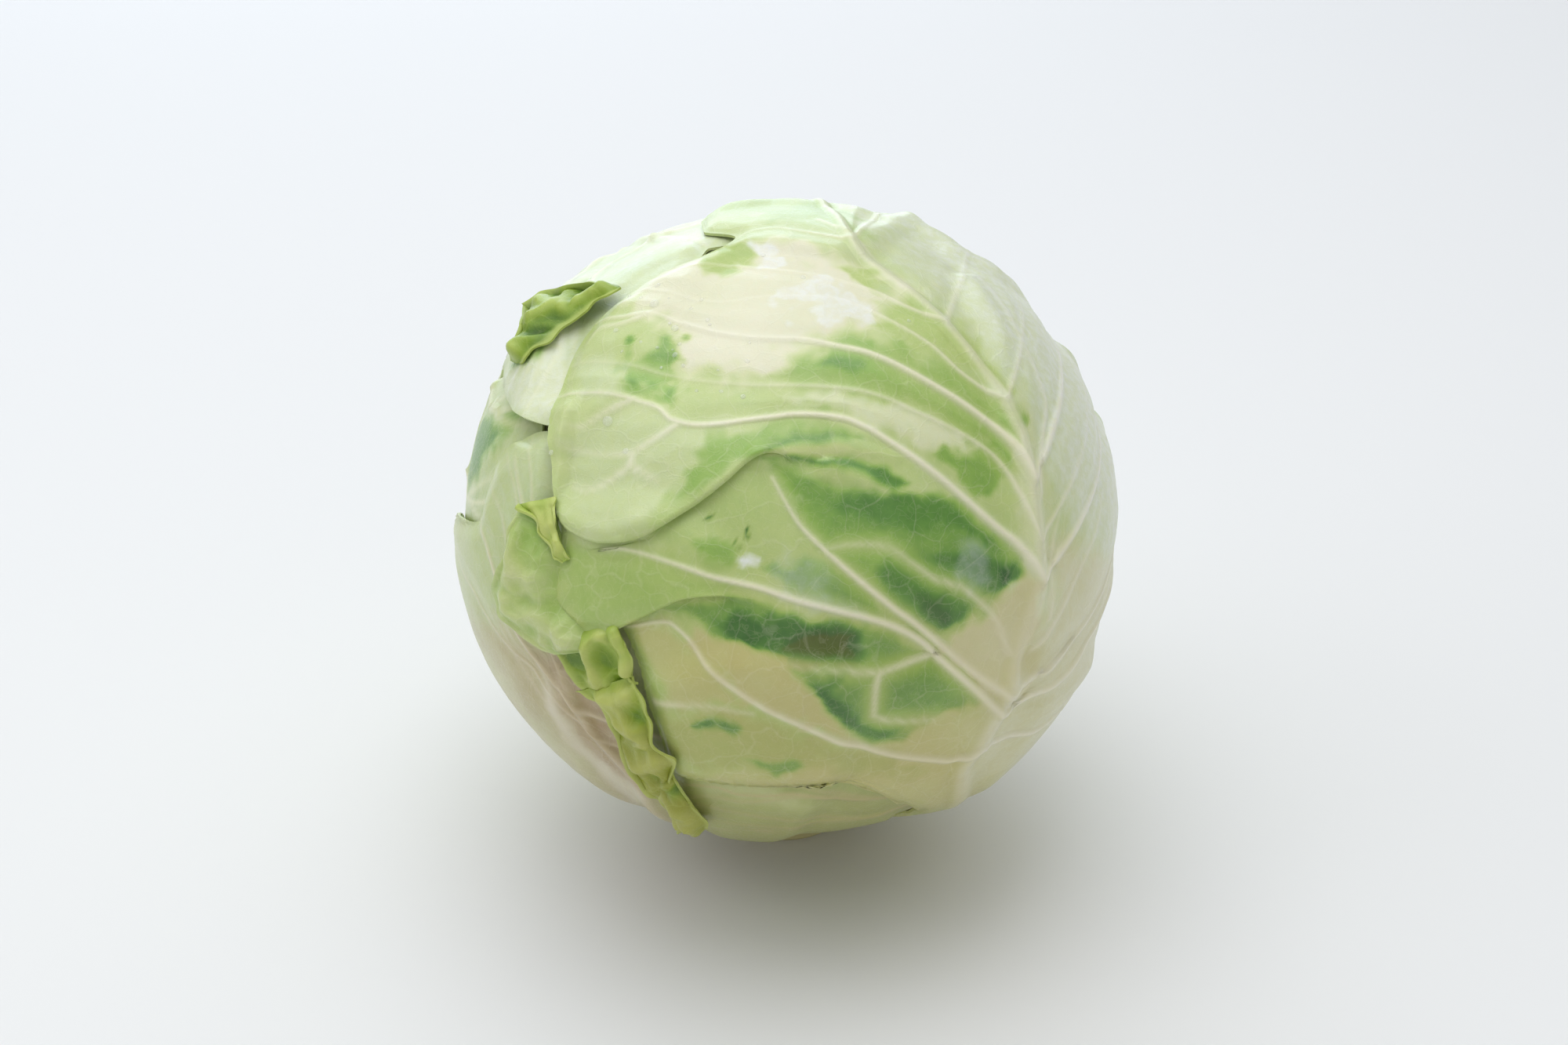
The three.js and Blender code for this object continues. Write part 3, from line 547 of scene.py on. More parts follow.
def veins_of(name):
    """The samples of a leaf's midrib and those of all its finer veins."""
    net, rows = nets[name]
    columns = net.shape[1] // 2
    by_rule = name not in DRAWN_FORKS
    fine = forks(net, rows, columns, ORDER.index(name) + 3) if by_rule else []
    for row, kind in rows.items():
        kind, _, reach = kind.partition(":")
        left = net[row, columns::-1][: 1 + round(float(reach or 1) * columns)]
        fine.append(vein_samples(left, SIDE_VEINS[kind]))
        fine.append(vein_samples(net[row, columns:], SIDE_VEINS[kind]))
    fine += drawn_lines(DRAWN_FORKS.get(name, ()), FORK)
    return vein_samples(net[1:, columns], MIDRIB), np.concatenate(fine)


veins = {name: veins_of(name) for name in ORDER}
pleats = np.concatenate(drawn_lines(FRONT_PLEATS, PLEAT))
print("samples on the front leaf:", [len(part) for part in (*veins["front_leaf"], pleats)])

# %% [markdown]
# ## From a net to a sheet of mesh
# `bmesh.ops.create_grid` gives the sheet. It could be bent by a lattice or a shrinkwrap, but a net
# knows where each of its points goes, so we move the grid's points there in one step. The samples
# stand closer together where the net is dense, as at a fold. A Solidify modifier then gives the
# blade its thickness, inwards, so that the outer side keeps its place. The grid's edge is marked
# sharp, because otherwise the rim that Solidify adds would bend the shading where two parts meet.

# %% Sheet helpers
# millimetres; the first cells lie hidden under the head and get fewer samples
LEAST_CELL, LONGEST_CELL = 0.8, 24.0
HIDDEN_CELLS, HIDDEN_SHARE = 3, 0.35


def spread(weights, count):
    """Positions along a line of cells, more of them in the larger cells."""
    run = np.concatenate([[0], np.cumsum(weights)])
    return np.interp(np.linspace(0, run[-1], count), run, np.arange(len(run)))


def sheet_points(net, rows, columns, part):
    """Part of a net, from one share of its width to another, sampled as rows by columns."""
    cells = np.linalg.norm(np.diff(net[..., :3], axis=0), axis=-1) * WRAPPED[0]
    down = np.minimum(cells.max(axis=1), LONGEST_CELL)
    down[:HIDDEN_CELLS] *= HIDDEN_SHARE
    across = np.linalg.norm(np.diff(net[..., :3], axis=1), axis=-1).mean(axis=0) * WRAPPED[0]
    first, last = (round(share * len(across)) for share in part)
    u = spread(np.maximum(down, LEAST_CELL), rows)
    v = first + spread(across[first:last], columns)
    return smooth(np.swapaxes(smooth(np.swapaxes(net, 0, 1), v), 0, 1), u)


def nearest(lines, directions):
    """Distance in millimetres to the nearest sample of some lines, and that sample."""
    tree = kdtree.KDTree(len(lines))
    for index, sample in enumerate(lines):
        tree.insert(sample[:3] * WRAPPED[0], index)
    tree.balance()
    flat = directions.reshape(-1, 3) * WRAPPED[0]
    hits = [tree.find(point) for point in flat]
    distance = np.array([hit[2] for hit in hits]).reshape(directions.shape[:-1])
    index = np.array([hit[1] for hit in hits]).reshape(directions.shape[:-1])
    return distance, lines[index]


def rough(directions, size, seed):
    """Smooth seeded noise over the head, about -1 to 1, with bumps of a size in millimetres."""
    flat = directions.reshape(-1, 3) * (WRAPPED[0] / size) + seed * 7.3
    return np.array([noise.noise(Vector(point)) for point in flat]).reshape(directions.shape[:-1])


def new_object(name, data):
    """An object that is linked to the scene."""
    made = bpy.data.objects.new(name, data)
    bpy.context.scene.collection.objects.link(made)
    return made


def new_piece(name, form, rounded=True):
    """An object from a bmesh, shaded smooth if it is rounded."""
    mesh = bpy.data.meshes.new(name)
    form.to_mesh(mesh)
    form.free()
    mesh.polygons.foreach_set("use_smooth", [rounded] * len(mesh.polygons))
    return new_object(name, mesh)


def grid_mesh(name, place, layers):
    """A bmesh grid whose points go to the given places, with one attribute for each layer."""
    rows, columns = place.shape[:2]
    sheet = bmesh.new()
    bmesh.ops.create_grid(sheet, x_segments=columns - 1, y_segments=rows - 1, size=1)
    for edge in sheet.edges:
        edge.smooth = not edge.is_boundary
    piece = new_piece(name, sheet)
    mesh = piece.data
    corner = np.empty(len(mesh.vertices) * 3)
    mesh.vertices.foreach_get("co", corner)
    corner = corner.reshape(-1, 3)
    column = np.rint((corner[:, 0] + 1) / 2 * (columns - 1)).astype(int)
    row = np.rint((corner[:, 1] + 1) / 2 * (rows - 1)).astype(int)
    mesh.vertices.foreach_set("co", (place[row, column] * MM).ravel())
    for layer, values in layers.items():
        mesh.attributes.new(layer, "FLOAT", "POINT").data.foreach_set("value", values[row, column])
    mesh.update()
    return piece


def finish_piece(piece, node, finish, thickness=None):
    """Gives a piece its wall, its finish and its place in the frame."""
    if thickness:
        wall = piece.modifiers.new("wall", "SOLIDIFY")
        wall.thickness = thickness * MM
        wall.offset = -1
    piece.data.materials.append(finish)
    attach(piece, "root")
    if node:
        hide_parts(node)


print("a sheet of 4 by 3 points:", sheet_points(nets["lower_leaf"][0], 4, 3, (0, 1)).shape)

# %% [markdown]
# ## Relief
# Three things shape a leaf's face. Veins stand up as rounded ridges. Between them the blade swells
# into shallow pillows, because it grows faster than its veins. And the whole leaf is a little uneven.
# All three are heights over the layer below, so they are added before the points are placed. At its
# own edge a leaf settles towards what it lies on, which closes the dark gap that a rigid sheet shows.

# %% Shape a leaf
PILLOW_HEIGHT, PILLOW_REACH = 0.55, 7.0
UNEVEN = ((26.0, 0.55), (9.0, 0.16))  # size of the bumps and their height
EDGE_REACH, EDGE_DROP = 6.0, 1.2
SETTLES_BELOW, STANDS_ABOVE = 0.8, 2.2  # lift up to which an edge settles, and from which it doesn't
PRESSED_RELIEF = 0.15
MIDRIB_MASK, HALO_REACH, EDGE_LINE = 0.5, 3.4, 1.6
# widths of a ridge's crest and foot in half widths of the vein, and their shares of its height
CREST_WIDTH, FOOT_WIDTH, CREST_SHARE, FOOT_SHARE = 1.35, 3.2, 0.75, 0.35


def ridge(distance, wide, high):
    """A rounded ridge on a soft, wider foot."""
    crest = high * np.clip(1 - (distance / (wide * CREST_WIDTH)) ** 2, 0, 1) ** 1.5
    foot = high * FOOT_SHARE * np.exp(-((distance / (wide * FOOT_WIDTH)) ** 2))
    return crest * CREST_SHARE + foot


def shape_leaf(name, rows, columns, part=(0, 1)):
    """The places of a leaf's points, and what its colours are worked out from."""
    net, _ = nets[name]
    grid = sheet_points(net, rows, columns, part)
    directions = unit(grid[..., :3])
    ribs, fine = veins[name]
    rib_far, rib = nearest(ribs, directions)
    far, vein = nearest(fine, directions)
    edge = border(net)
    edge_far, _ = nearest(np.hstack([unit(edge[:, :3]), edge[:, 3:]]), directions)
    pillow = PILLOW_HEIGHT * smoothstep(0.5, PILLOW_REACH, np.minimum(far, rib_far))
    relief = ridge(rib_far, rib[..., 3], rib[..., 4]) + ridge(far, vein[..., 3], vein[..., 4])
    relief = relief + pillow
    if name == "front_leaf":
        pleat_far, pleat = nearest(pleats, directions)
        relief = relief + ridge(pleat_far, pleat[..., 3], pleat[..., 4])
    seed = ORDER.index(name) + 1
    for size, height in UNEVEN:
        relief = relief + height * rough(directions, size, seed)
    free = freedom(name, directions)
    settled = EDGE_DROP * (1 - smoothstep(0, EDGE_REACH, edge_far))
    settled = settled * (1 - smoothstep(SETTLES_BELOW, STANDS_ABOVE, grid[..., 3]))
    height = stack_under(name, directions) + GAP + BLADE + grid[..., 3] * free
    height = height + relief * np.clip(free, PRESSED_RELIEF, 1) * smoothstep(0, 2.5, edge_far) - settled
    radius = heart_radius(directions) + height
    column, row, facing = pixels(directions, radius)
    vein_mask = np.maximum(
        np.exp(-((far / (vein[..., 3] * 0.95)) ** 2)) * np.clip(vein[..., 4] / 0.55, 0.2, 1),
        MIDRIB_MASK * np.exp(-((rib_far / (rib[..., 3] * 0.72)) ** 4)),
    )
    halo = np.exp(-((np.minimum(far, rib_far) / HALO_REACH) ** 2))
    look = {
        "column": column, "row": row, "facing": facing, "vein": vein_mask, "halo": halo,
        "edge": np.exp(-((edge_far / EDGE_LINE) ** 2)), "directions": directions,
        "height": directions[..., 2] * radius + CENTRE[2],
    }
    return directions * radius[..., None] + CENTRE, look


print("relief at a vein's crest:", round(float(ridge(np.array(0.0), 1.5, 1.1)), 2), "mm")

# %% [markdown]
# ## Colour: where a leaf is cream and where it is green
# The outer leaf of this head is cream at the top and along its veins, and its green gathers in soft
# patches with an uneven edge. An image could hold this, but it would fix the detail to one size. So
# each patch is named, has a place, a size and a tone, and is written to attributes of the mesh:
# green from 0, cream, to 1, the darkest green; warm for straw and brown tones, and towards the foot
# also for painted shade; pale for bleached wax and for painted sheen. Some patches are painted light:
# painted shade in the pleats, inside the curl and under the rim, and a painted highlight on the rib.

# %% The patches
# name, softness and raggedness of the edge in pixels, green, warm, pale (None leaves it), outline
FRONT_PATCHES = (
    ("lower half", 60, 10, 0.42, 0.25, 0, "700,740 1290,740 1300,1100 700,1100"),
    ("foot", 30, 8, 0.27, 0.75, 0,
     "1100,960 1178,920 1245,900 1340,700 1420,900 1240,1040 900,1060 860,1000"),
    ("right half", 60, 14, 0.27, 0.06, 0.8,
     "1040,250 1130,300 1230,400 1300,500 1345,600 1500,900 1500,250"),
    ("right foot", 30, 8, 0.16, 0.5, 0.3, "1335,700 1500,720 1480,1000 1230,1000"),
    ("by the midrib", 12, 8, 0.26, 0.12, 0.2,
     "1296,500 1335,600 1345,760 1310,840 1290,760 1300,640 1292,570"),
    ("upper left", 30, 8, 0.34, 0, 0.05,
     "700,560 712,440 770,360 860,310 880,400 840,440 850,520 780,600"),
    ("crown", 26, 16, 0.06, 0.1, 0.25,
     "800,372 850,335 905,312 960,298 1080,322 1160,376 1108,412 1060,434 1010,468 930,486 880,470 845,436 "
     "835,402"),
    ("green at the crown", 10, 10, 0.46, None, 0, "900,318 940,304 966,335 935,352 900,345"),
    ("above the crown", 8, 8, 0.34, None, 0.2,
     "880,296 935,284 1000,281 1085,300 1140,335 1080,318 985,298 900,312"),
    ("tip", 8, 6, 0.46, None, 0.1, "975,285 1030,255 1075,262 1110,300 1080,300 1030,280"),
    ("right of the crown", 10, 8, 0.42, None, 0,
     "1108,412 1160,380 1226,415 1284,495 1226,466 1149,436"),
    ("streaks", 6, 10, 0.4, None, 0, "1060,335 1110,340 1140,362 1100,358"),
    ("left blotch", 9, 14, 0.69, None, 0,
     "782,496 800,460 832,438 866,424 872,440 852,470 864,496 850,514 815,502"),
    ("upper band", 12, 8, 0.54, None, 0,
     "980,480 1046,446 1096,434 1149,441 1203,464 1249,495 1290,520 1292,565 1241,560 1199,533 1149,508 "
     "1111,497 1034,496"),
    ("band dark", 9, 6, 0.72, None, 0, "1050,448 1112,440 1128,458 1090,470 1046,464"),
    ("pale field", 12, 10, 0.2, None, 0.3,
     "1000,505 1110,502 1200,545 1262,576 1196,576 1150,560 1080,522"),
    ("dark wedge", 6, 9, 0.64, None, 0,
     "1188,578 1206,568 1226,582 1256,578 1268,552 1284,520 1298,540 1292,574 1282,596 1268,627 1250,632 "
     "1221,610"),
    ("flap", 14, 8, 0.34, 0.05, 0.22, "716,560 800,510 860,540 990,545 930,600 830,670 740,690"),
    ("flap green", 10, 10, 0.56, None, 0,
     "870,600 905,560 985,540 1060,528 1000,560 930,598 850,650"),
    # painted shade in the two pleats under the lip, with a painted highlight on the ridge between them
    ("painted shade in the first pleat", 9, 4, 0.72, None, 0,
     "975,572 1014,550 1057,543 1103,554 1060,560 1014,566"),
    ("painted highlight on the pleat ridge", 5, 3, 0.28, None, 0, "968,577 1014,568 1071,565 1125,578 1071,581 1000,580"),
    ("painted shade in the second pleat", 8, 4, 0.78, None, 0,
     "974,582 1036,582 1088,588 1127,596 1164,613 1141,622 1106,606 1053,593 1000,588"),
    ("field left", 10, 8, 0.43, None, 0.05,
     "825,692 853,638 937,599 975,588 1000,636 1029,681 1071,720 1127,766 1158,797 1106,783 1036,755 "
     "965,734 895,723"),
    ("field spot", 8, 8, 0.62, None, 0, "880,692 905,684 935,700 930,722 900,718"),
    ("field low", 8, 8, 0.7, None, 0, "972,728 1036,712 1099,744 1130,787 1099,801 1036,762"),
    ("middle field", 12, 6, 0.68, None, 0,
     "986,588 1036,604 1106,624 1176,636 1221,636 1256,662 1296,702 1301,735 1271,768 1239,786 1176,803 "
     "1141,787 1106,744 1057,709 1021,667 1000,625"),
    ("middle blue", 12, 8, 0.78, None, 0, "1050,628 1130,625 1220,645 1270,690 1200,670 1120,660"),
    ("middle dark", 8, 6, 0.82, None, 0,
     "1130,700 1165,708 1211,700 1296,716 1302,738 1257,776 1193,804 1158,796 1127,752"),
    ("middle deep", 10, 6, 0.92, 0.6, 0, "1166,760 1210,756 1212,790 1188,803 1170,790"),
    ("deep at the midrib", 6, 4, 0.92, None, 0, "1278,724 1300,718 1302,738 1282,752"),
    ("foot of the midrib", 9, 9, 0.14, 0.6, 0.05,
     "1200,815 1240,792 1275,770 1304,742 1330,760 1318,860 1276,905 1242,872 1215,842"),
    ("left panel", 12, 8, 0.5, 0.12, 0, "700,700 800,700 940,745 880,760 800,792 740,810"),
    ("lower dark", 7, 7, 0.7, None, 0,
     "850,776 919,765 966,766 1012,780 1072,800 1140,812 1190,838 1236,872 1240,892 1228,905 1195,919 "
     "1161,939 1112,949 1078,925 1055,906 1032,883 1006,853 966,833 929,813 885,793"),
    ("lower deep", 9, 7, 0.88, None, 0,
     "915,790 985,785 1032,790 1090,812 1100,850 1060,880 1010,850 950,826"),
    ("lower brown", 8, 6, 0.96, 0.95, 0, "985,826 1032,806 1085,812 1092,846 1045,854 1002,848"),
    ("lower edge", 6, 5, 0.86, None, 0,
     "1030,868 1060,880 1100,920 1150,925 1112,948 1078,925 1050,903"),
    ("straw wedge", 8, 7, 0.28, 0.8, 0,
     "890,800 930,818 1000,853 1045,903 1095,950 1040,930 980,903 940,878 900,850 870,815"),
    ("lower panel", 12, 9, 0.34, 0.7, 0, "800,796 850,790 900,850 960,893 930,898 842,894 815,850"),
    # painted shade where the rim overhangs the lower panel
    ("painted shade under the rim", 12, 6, 0.5, 0.2, 0, "786,806 800,800 840,880 850,960 830,900"),
    ("low green", 16, 9, 0.52, 0.7, 0,
     "850,905 940,910 1060,950 1180,980 1080,985 900,975 860,960"),
    ("low blot", 8, 8, 0.84, 0.6, 0, "890,925 918,918 938,930 920,940 895,938"),
    ("low blot right", 8, 8, 0.66, 0.3, 0, "950,965 1010,960 1022,978 980,980"),
    ("wax", 5, 16, None, None, 0.8,
     "988,358 1030,356 1070,372 1108,392 1098,410 1050,412 1020,398 985,385"),
    ("peeled wax", 4, 12, None, None, 0.9, "948,306 985,308 990,330 975,345 955,325"),
    ("scar", 3, 3, 0.3, 0, 1.0, "942,714 955,708 968,712 966,721 948,724"),
    # painted sheen: pale patches that stand in for reflections, mixed in with the white of the wax
    ("sheen in the field", 14, 10, None, None, 0.3,
     "985,735 1000,700 1040,715 1075,760 1090,790 1040,780 1000,760"),
    ("sheen at the midrib", 10, 8, None, None, 0.3, "1225,690 1250,700 1262,740 1240,760 1225,730"),
    ("sheen on the flap", 14, 8, None, None, 0.3, "735,450 780,440 800,460 780,500 745,510"),
    ("mark", 2, 2, 0.95, 0.95, 0, "936,690 944,693 946,700 938,699"),
    ("second mark", 2, 2, 0.9, 0.9, 0, "950,672 954,672 954,684 950,684"),
    ("third mark", 2, 2, 0.8, 0.7, 0, "898,662 906,656 914,658 904,664"),
)
LEFT_PATCHES = (
    ("upper", 20, 8, 0.36, 0.0, 0.3, "640,560 705,545 705,640 660,700 620,640"),
    ("side", 20, 8, 0.36, 0.1, 0.2, "590,640 640,620 660,760 620,800 590,720"),
    ("low", 40, 8, 0.16, 0.7, 0, "600,800 700,800 860,1010 800,1040 640,900"),
    ("rib", 14, 5, 0.06, 0.95, 0,
     "688,835 722,835 765,900 805,960 855,1012 800,1020 755,965 712,890"),
    # painted highlight along the lit side of the rib
    ("painted highlight on the rib", 6, 3, 0.04, 0.45, 0.15,
     "690,850 704,880 726,920 750,955 792,995 826,1020 812,1024 768,990 728,950 698,905"),
    ("rib shade", 8, 4, 0.3, 1.0, 0,
     "716,850 738,890 764,930 796,975 842,1012 802,988 762,946 732,902"),
)
UPPER_PATCHES = (
    # painted shade on the inner side of the curl
    ("curled rim", 7, 6, 0.94, 0, 0,
     "655,470 668,440 668,400 700,385 750,366 742,388 712,402 697,432 676,462"),
    ("lobe", 14, 8, 0.22, 0, 0.6, "640,505 700,440 735,420 712,540 680,540"),
)
FAR_PATCHES = (
    ("ruffle", 8, 8, 0.74, 0.1, 0,
     "575,620 590,560 620,535 650,515 668,535 640,562 615,585 600,640"),
    ("edge", 10, 8, 0.6, 0.3, 0, "568,560 590,560 590,680 568,680"),
)
LOWER_PATCHES = (
    ("bottom", 24, 8, 0.4, 0.8, 0, "850,1030 1240,1020 1240,1100 850,1100"),
    ("pale wedge", 12, 6, 0.26, 0.45, 0, "880,990 960,995 1060,1030 980,1030 890,1010"),
)
# green, warm and pale of each leaf where no patch lies, and its patches
LEAF_TONES = {
    "front_leaf": (0.38, 0.06, 0.08, FRONT_PATCHES),
    "left_leaf": (0.3, 0.15, 0.25, LEFT_PATCHES),
    "upper_left_leaf": (0.34, 0.04, 0.4, UPPER_PATCHES),
    "far_left_leaf": (0.4, 0.1, 0.2, FAR_PATCHES),
    "lower_leaf": (0.42, 0.5, 0.0, LOWER_PATCHES),
    "right_leaf": (0.33, 0.1, 0.2, ()),
    "back_leaf": (0.3, 0.1, 0.2, ()),
}
LOW_ROOT, LOW_TOP = 18.0, 75.0  # heights in millimetres between which the foot's straw tone and painted shade end
WARP = 1.9
TURNED_AWAY, TURNED_TO = -0.15, 0.02  # a patch fades where the leaf turns away from the photograph
TONE_BUMPS, FIRST_TONE_SEED = (9.0, 3.2, 24.0, 4.0, 9.0, 4.0), 21  # sizes of the noises in millimetres
HALO_CUT = 0.35  # how much of its green a leaf loses next to a vein


def outside(column, row, outline):
    """Distance in pixels from an outline, less than zero inside it."""
    corners = np.array([[float(number) for number in word.split(",")] for word in outline.split()])
    nearest_edge = np.full(column.shape, np.inf)
    inside = np.zeros(column.shape, bool)
    for (x0, y0), (x1, y1) in zip(corners, np.roll(corners, -1, axis=0)):
        run, rise = x1 - x0, y1 - y0
        t = np.clip(((column - x0) * run + (row - y0) * rise) / (run * run + rise * rise), 0, 1)
        nearest_edge = np.minimum(nearest_edge, np.hypot(column - x0 - t * run, row - y0 - t * rise))
        if rise:
            crossed = x0 + (row - y0) * run / rise
            inside ^= ((y0 > row) != (y1 > row)) & (column < crossed)
    return np.where(inside, -nearest_edge, nearest_edge)


def leaf_tones(look, base_green, base_warm, base_pale, patches):
    """Green, warm and pale for a leaf: its own tones, then each patch over the ones before."""
    seeds = enumerate(TONE_BUMPS, FIRST_TONE_SEED)
    noises = [rough(look["directions"], size, seed) for seed, size in seeds]
    broad, fine, drift, sway, heave, heave_fine = noises
    sway, heave = broad + 0.4 * sway, heave + 0.4 * heave_fine
    # towards the foot the leaf turns straw, less green and less pale: partly its own colour, partly painted
    # shade on the underside
    low = 1 - smoothstep(LOW_ROOT, LOW_TOP, look["height"])
    green = base_green + 0.1 * drift + 0.05 * broad - 0.14 * low
    warm = base_warm + 0.6 * low + 0.1 * drift
    pale = base_pale * (1 - low) * (1 + 0.6 * broad)
    for _, soft, ragged, to_green, to_warm, to_pale, outline in patches:
        column, row = look["column"] + WARP * ragged * sway, look["row"] + WARP * ragged * heave
        away = outside(column, row, outline) + ragged * (0.5 * broad + 0.8 * fine)
        mask = smoothstep(soft, -soft, away) * smoothstep(TURNED_AWAY, TURNED_TO, look["facing"])
        if to_green is not None:
            green = green + (to_green - green) * mask
        if to_warm is not None:
            warm = warm + (to_warm - warm) * mask
        pale = pale + (to_pale - pale) * mask
    green = green * (1 - HALO_CUT * look["halo"] * smoothstep(0.35, 0.8, green))
    return np.clip(green, 0, 1), np.clip(warm, 0, 1), np.clip(pale, 0, 1)


print("patches:", {name: len(tones[3]) for name, tones in LEAF_TONES.items()})

# %% [markdown]
# ## Shader maths in plain expressions
# A material is a graph of small nodes. Written node by node it is hard to read, so one small class
# wraps a socket and lets us add, multiply and subtract masks as if they were numbers.

# %% A small class for shader maths
MIX_INPUTS, MIX_OUTPUT = (0, 6, 7), 2  # the numbers of a Mix node's sockets when it mixes colours


class Value:
    """A socket that takes part in sums."""

    def __init__(self, graph, socket):
        self.graph, self.socket = graph, socket

    def maths(self, operation, left, right):
        return self.graph.add("ShaderNodeMath", {"operation": operation}, {0: left, 1: right})

    def __add__(self, other):
        return self.maths("ADD", self, other)

    def __sub__(self, other):
        return self.maths("SUBTRACT", self, other)

    def __rsub__(self, other):
        return self.maths("SUBTRACT", other, self)

    def __mul__(self, other):
        return self.maths("MULTIPLY", self, other)

    def __pow__(self, other):
        return self.maths("POWER", self, other)

    __radd__, __rmul__ = __add__, __mul__


class Finish:
    """A material and the one method that adds any node to it."""

    def __init__(self, name):
        self.material = bpy.data.materials.new(name)
        self.material.use_nodes = True
        self.tree = self.material.node_tree
        self.shader = self.tree.nodes["Principled BSDF"]

    def add(self, kind, settings=None, sockets=None, output=0):
        node = self.tree.nodes.new(kind)
        for key, value in (settings or {}).items():
            if key == "stops":
                ramp = node.color_ramp
                while len(ramp.elements) < len(value):
                    ramp.elements.new(0.5)
                for element, (position, colour) in zip(ramp.elements, value):
                    element.position, element.color = position, colour
            else:
                setattr(node, key, value)
        for key, value in (sockets or {}).items():
            self.put(node.inputs[key], value)
        return Value(self, node.outputs[output])

    def put(self, socket, value):
        if isinstance(value, Value):
            self.tree.links.new(value.socket, socket)
        else:
            socket.default_value = value

    def set(self, **sockets):
        for key, value in sockets.items():
            self.put(self.shader.inputs[key.replace("_", " ")], value)

    def attribute(self, name):
        return self.add("ShaderNodeAttribute", {"attribute_name": name}, output="Fac")

    def place(self):
        return self.add("ShaderNodeTexCoord", output="Object")

    def noise(self, scale, detail=3.0, roughness=0.55, output=0):
        sockets = {"Vector": self.place(), "Scale": scale, "Detail": detail, "Roughness": roughness}
        return self.add("ShaderNodeTexNoise", {}, sockets, output)

    def step(self, value, start, end, low=0.0, high=1.0):
        sockets = {"Value": value, "From Min": start, "From Max": end, "To Min": low, "To Max": high}
        return self.add("ShaderNodeMapRange", {"interpolation_type": "SMOOTHSTEP"}, sockets)

    def mix(self, factor, first, second):
        sockets = dict(zip(MIX_INPUTS, (factor, first, second)))
        return self.add("ShaderNodeMix", {"data_type": "RGBA"}, sockets, MIX_OUTPUT)

    def bump(self, height, strength, distance):
        sockets = {"Height": height, "Strength": strength, "Distance": distance}
        return self.add("ShaderNodeBump", {}, sockets, "Normal")


def colour(red, green, blue):
    """A colour as the eye reads it on a screen, 0 to 255, made linear for the shader."""
    parts = [part / 255 for part in (red, green, blue)]
    return (*[p / 12.92 if p <= 0.04045 else ((p + 0.055) / 1.055) ** 2.4 for p in parts], 1.0)


print("mid green as the shader sees it:", [round(c, 3) for c in colour(150, 185, 105)])

# %% [markdown]
# ## The leaf finish
# A cabbage leaf is a thin, slightly see-through skin with a waxy bloom. The base colour runs through
# a ramp from cream to dark green. Over it lie straw and brown in the warm places, the veins in cream,
# white where the wax is rubbed off and where sheen is painted, and a lighter line at the edge, partly
# the thin margin's own tone and partly a painted highlight. The gloss is broad, since the wax
# scatters it, and a fine bump breaks it up. The five masks come from the mesh, and noise in Object
# space adds the grain.

# %% Make the leaf finish
TONE_STOPS = (
    (0.0, colour(236, 231, 200)),
    (0.2, colour(212, 220, 158)),
    (0.4, colour(184, 204, 122)),
    (0.58, colour(146, 184, 84)),
    (0.75, colour(98, 146, 60)),
    (0.88, colour(62, 112, 44)),
    (1.0, colour(36, 80, 26)),
)
FRILL_STOPS = (
    (0.2, colour(200, 212, 122)),
    (0.45, colour(160, 188, 78)),
    (0.65, colour(128, 160, 34)),
    (0.85, colour(80, 118, 12)),
    (1.0, colour(48, 84, 6)),
)
BROWN, WAX_AND_SHEEN_WHITE, EDGE_TINT_AND_HIGHLIGHT = colour(92, 100, 30), colour(243, 247, 246), colour(176, 196, 110)
NET_WARP = (0.012, 0.012, 0.012)
SMOOTHER, ROUGHER = 0.07, 0.1  # how far the roughness strays from a leaf's gloss
SKIN = {
    "Specular_IOR_Level": 0.4, "Coat_Roughness": 0.24,
    "Subsurface_Weight": 0.12, "Subsurface_Scale": 0.004, "Subsurface_Radius": (0.8, 1.0, 0.4),
}


def net_of_veins(finish, scale, width):
    """Lines between the cells of a warped cell pattern, like the finest veins."""
    sockets = {0: finish.noise(scale * 0.8, 2.0, 0.5, "Color"), 1: NET_WARP, 2: finish.place()}
    moved = finish.add("ShaderNodeVectorMath", {"operation": "MULTIPLY_ADD"}, sockets)
    sockets = {"Vector": moved, "Scale": scale}
    cells = finish.add("ShaderNodeTexVoronoi", {"feature": "DISTANCE_TO_EDGE"}, sockets)
    return finish.step(cells, width, 0.0)


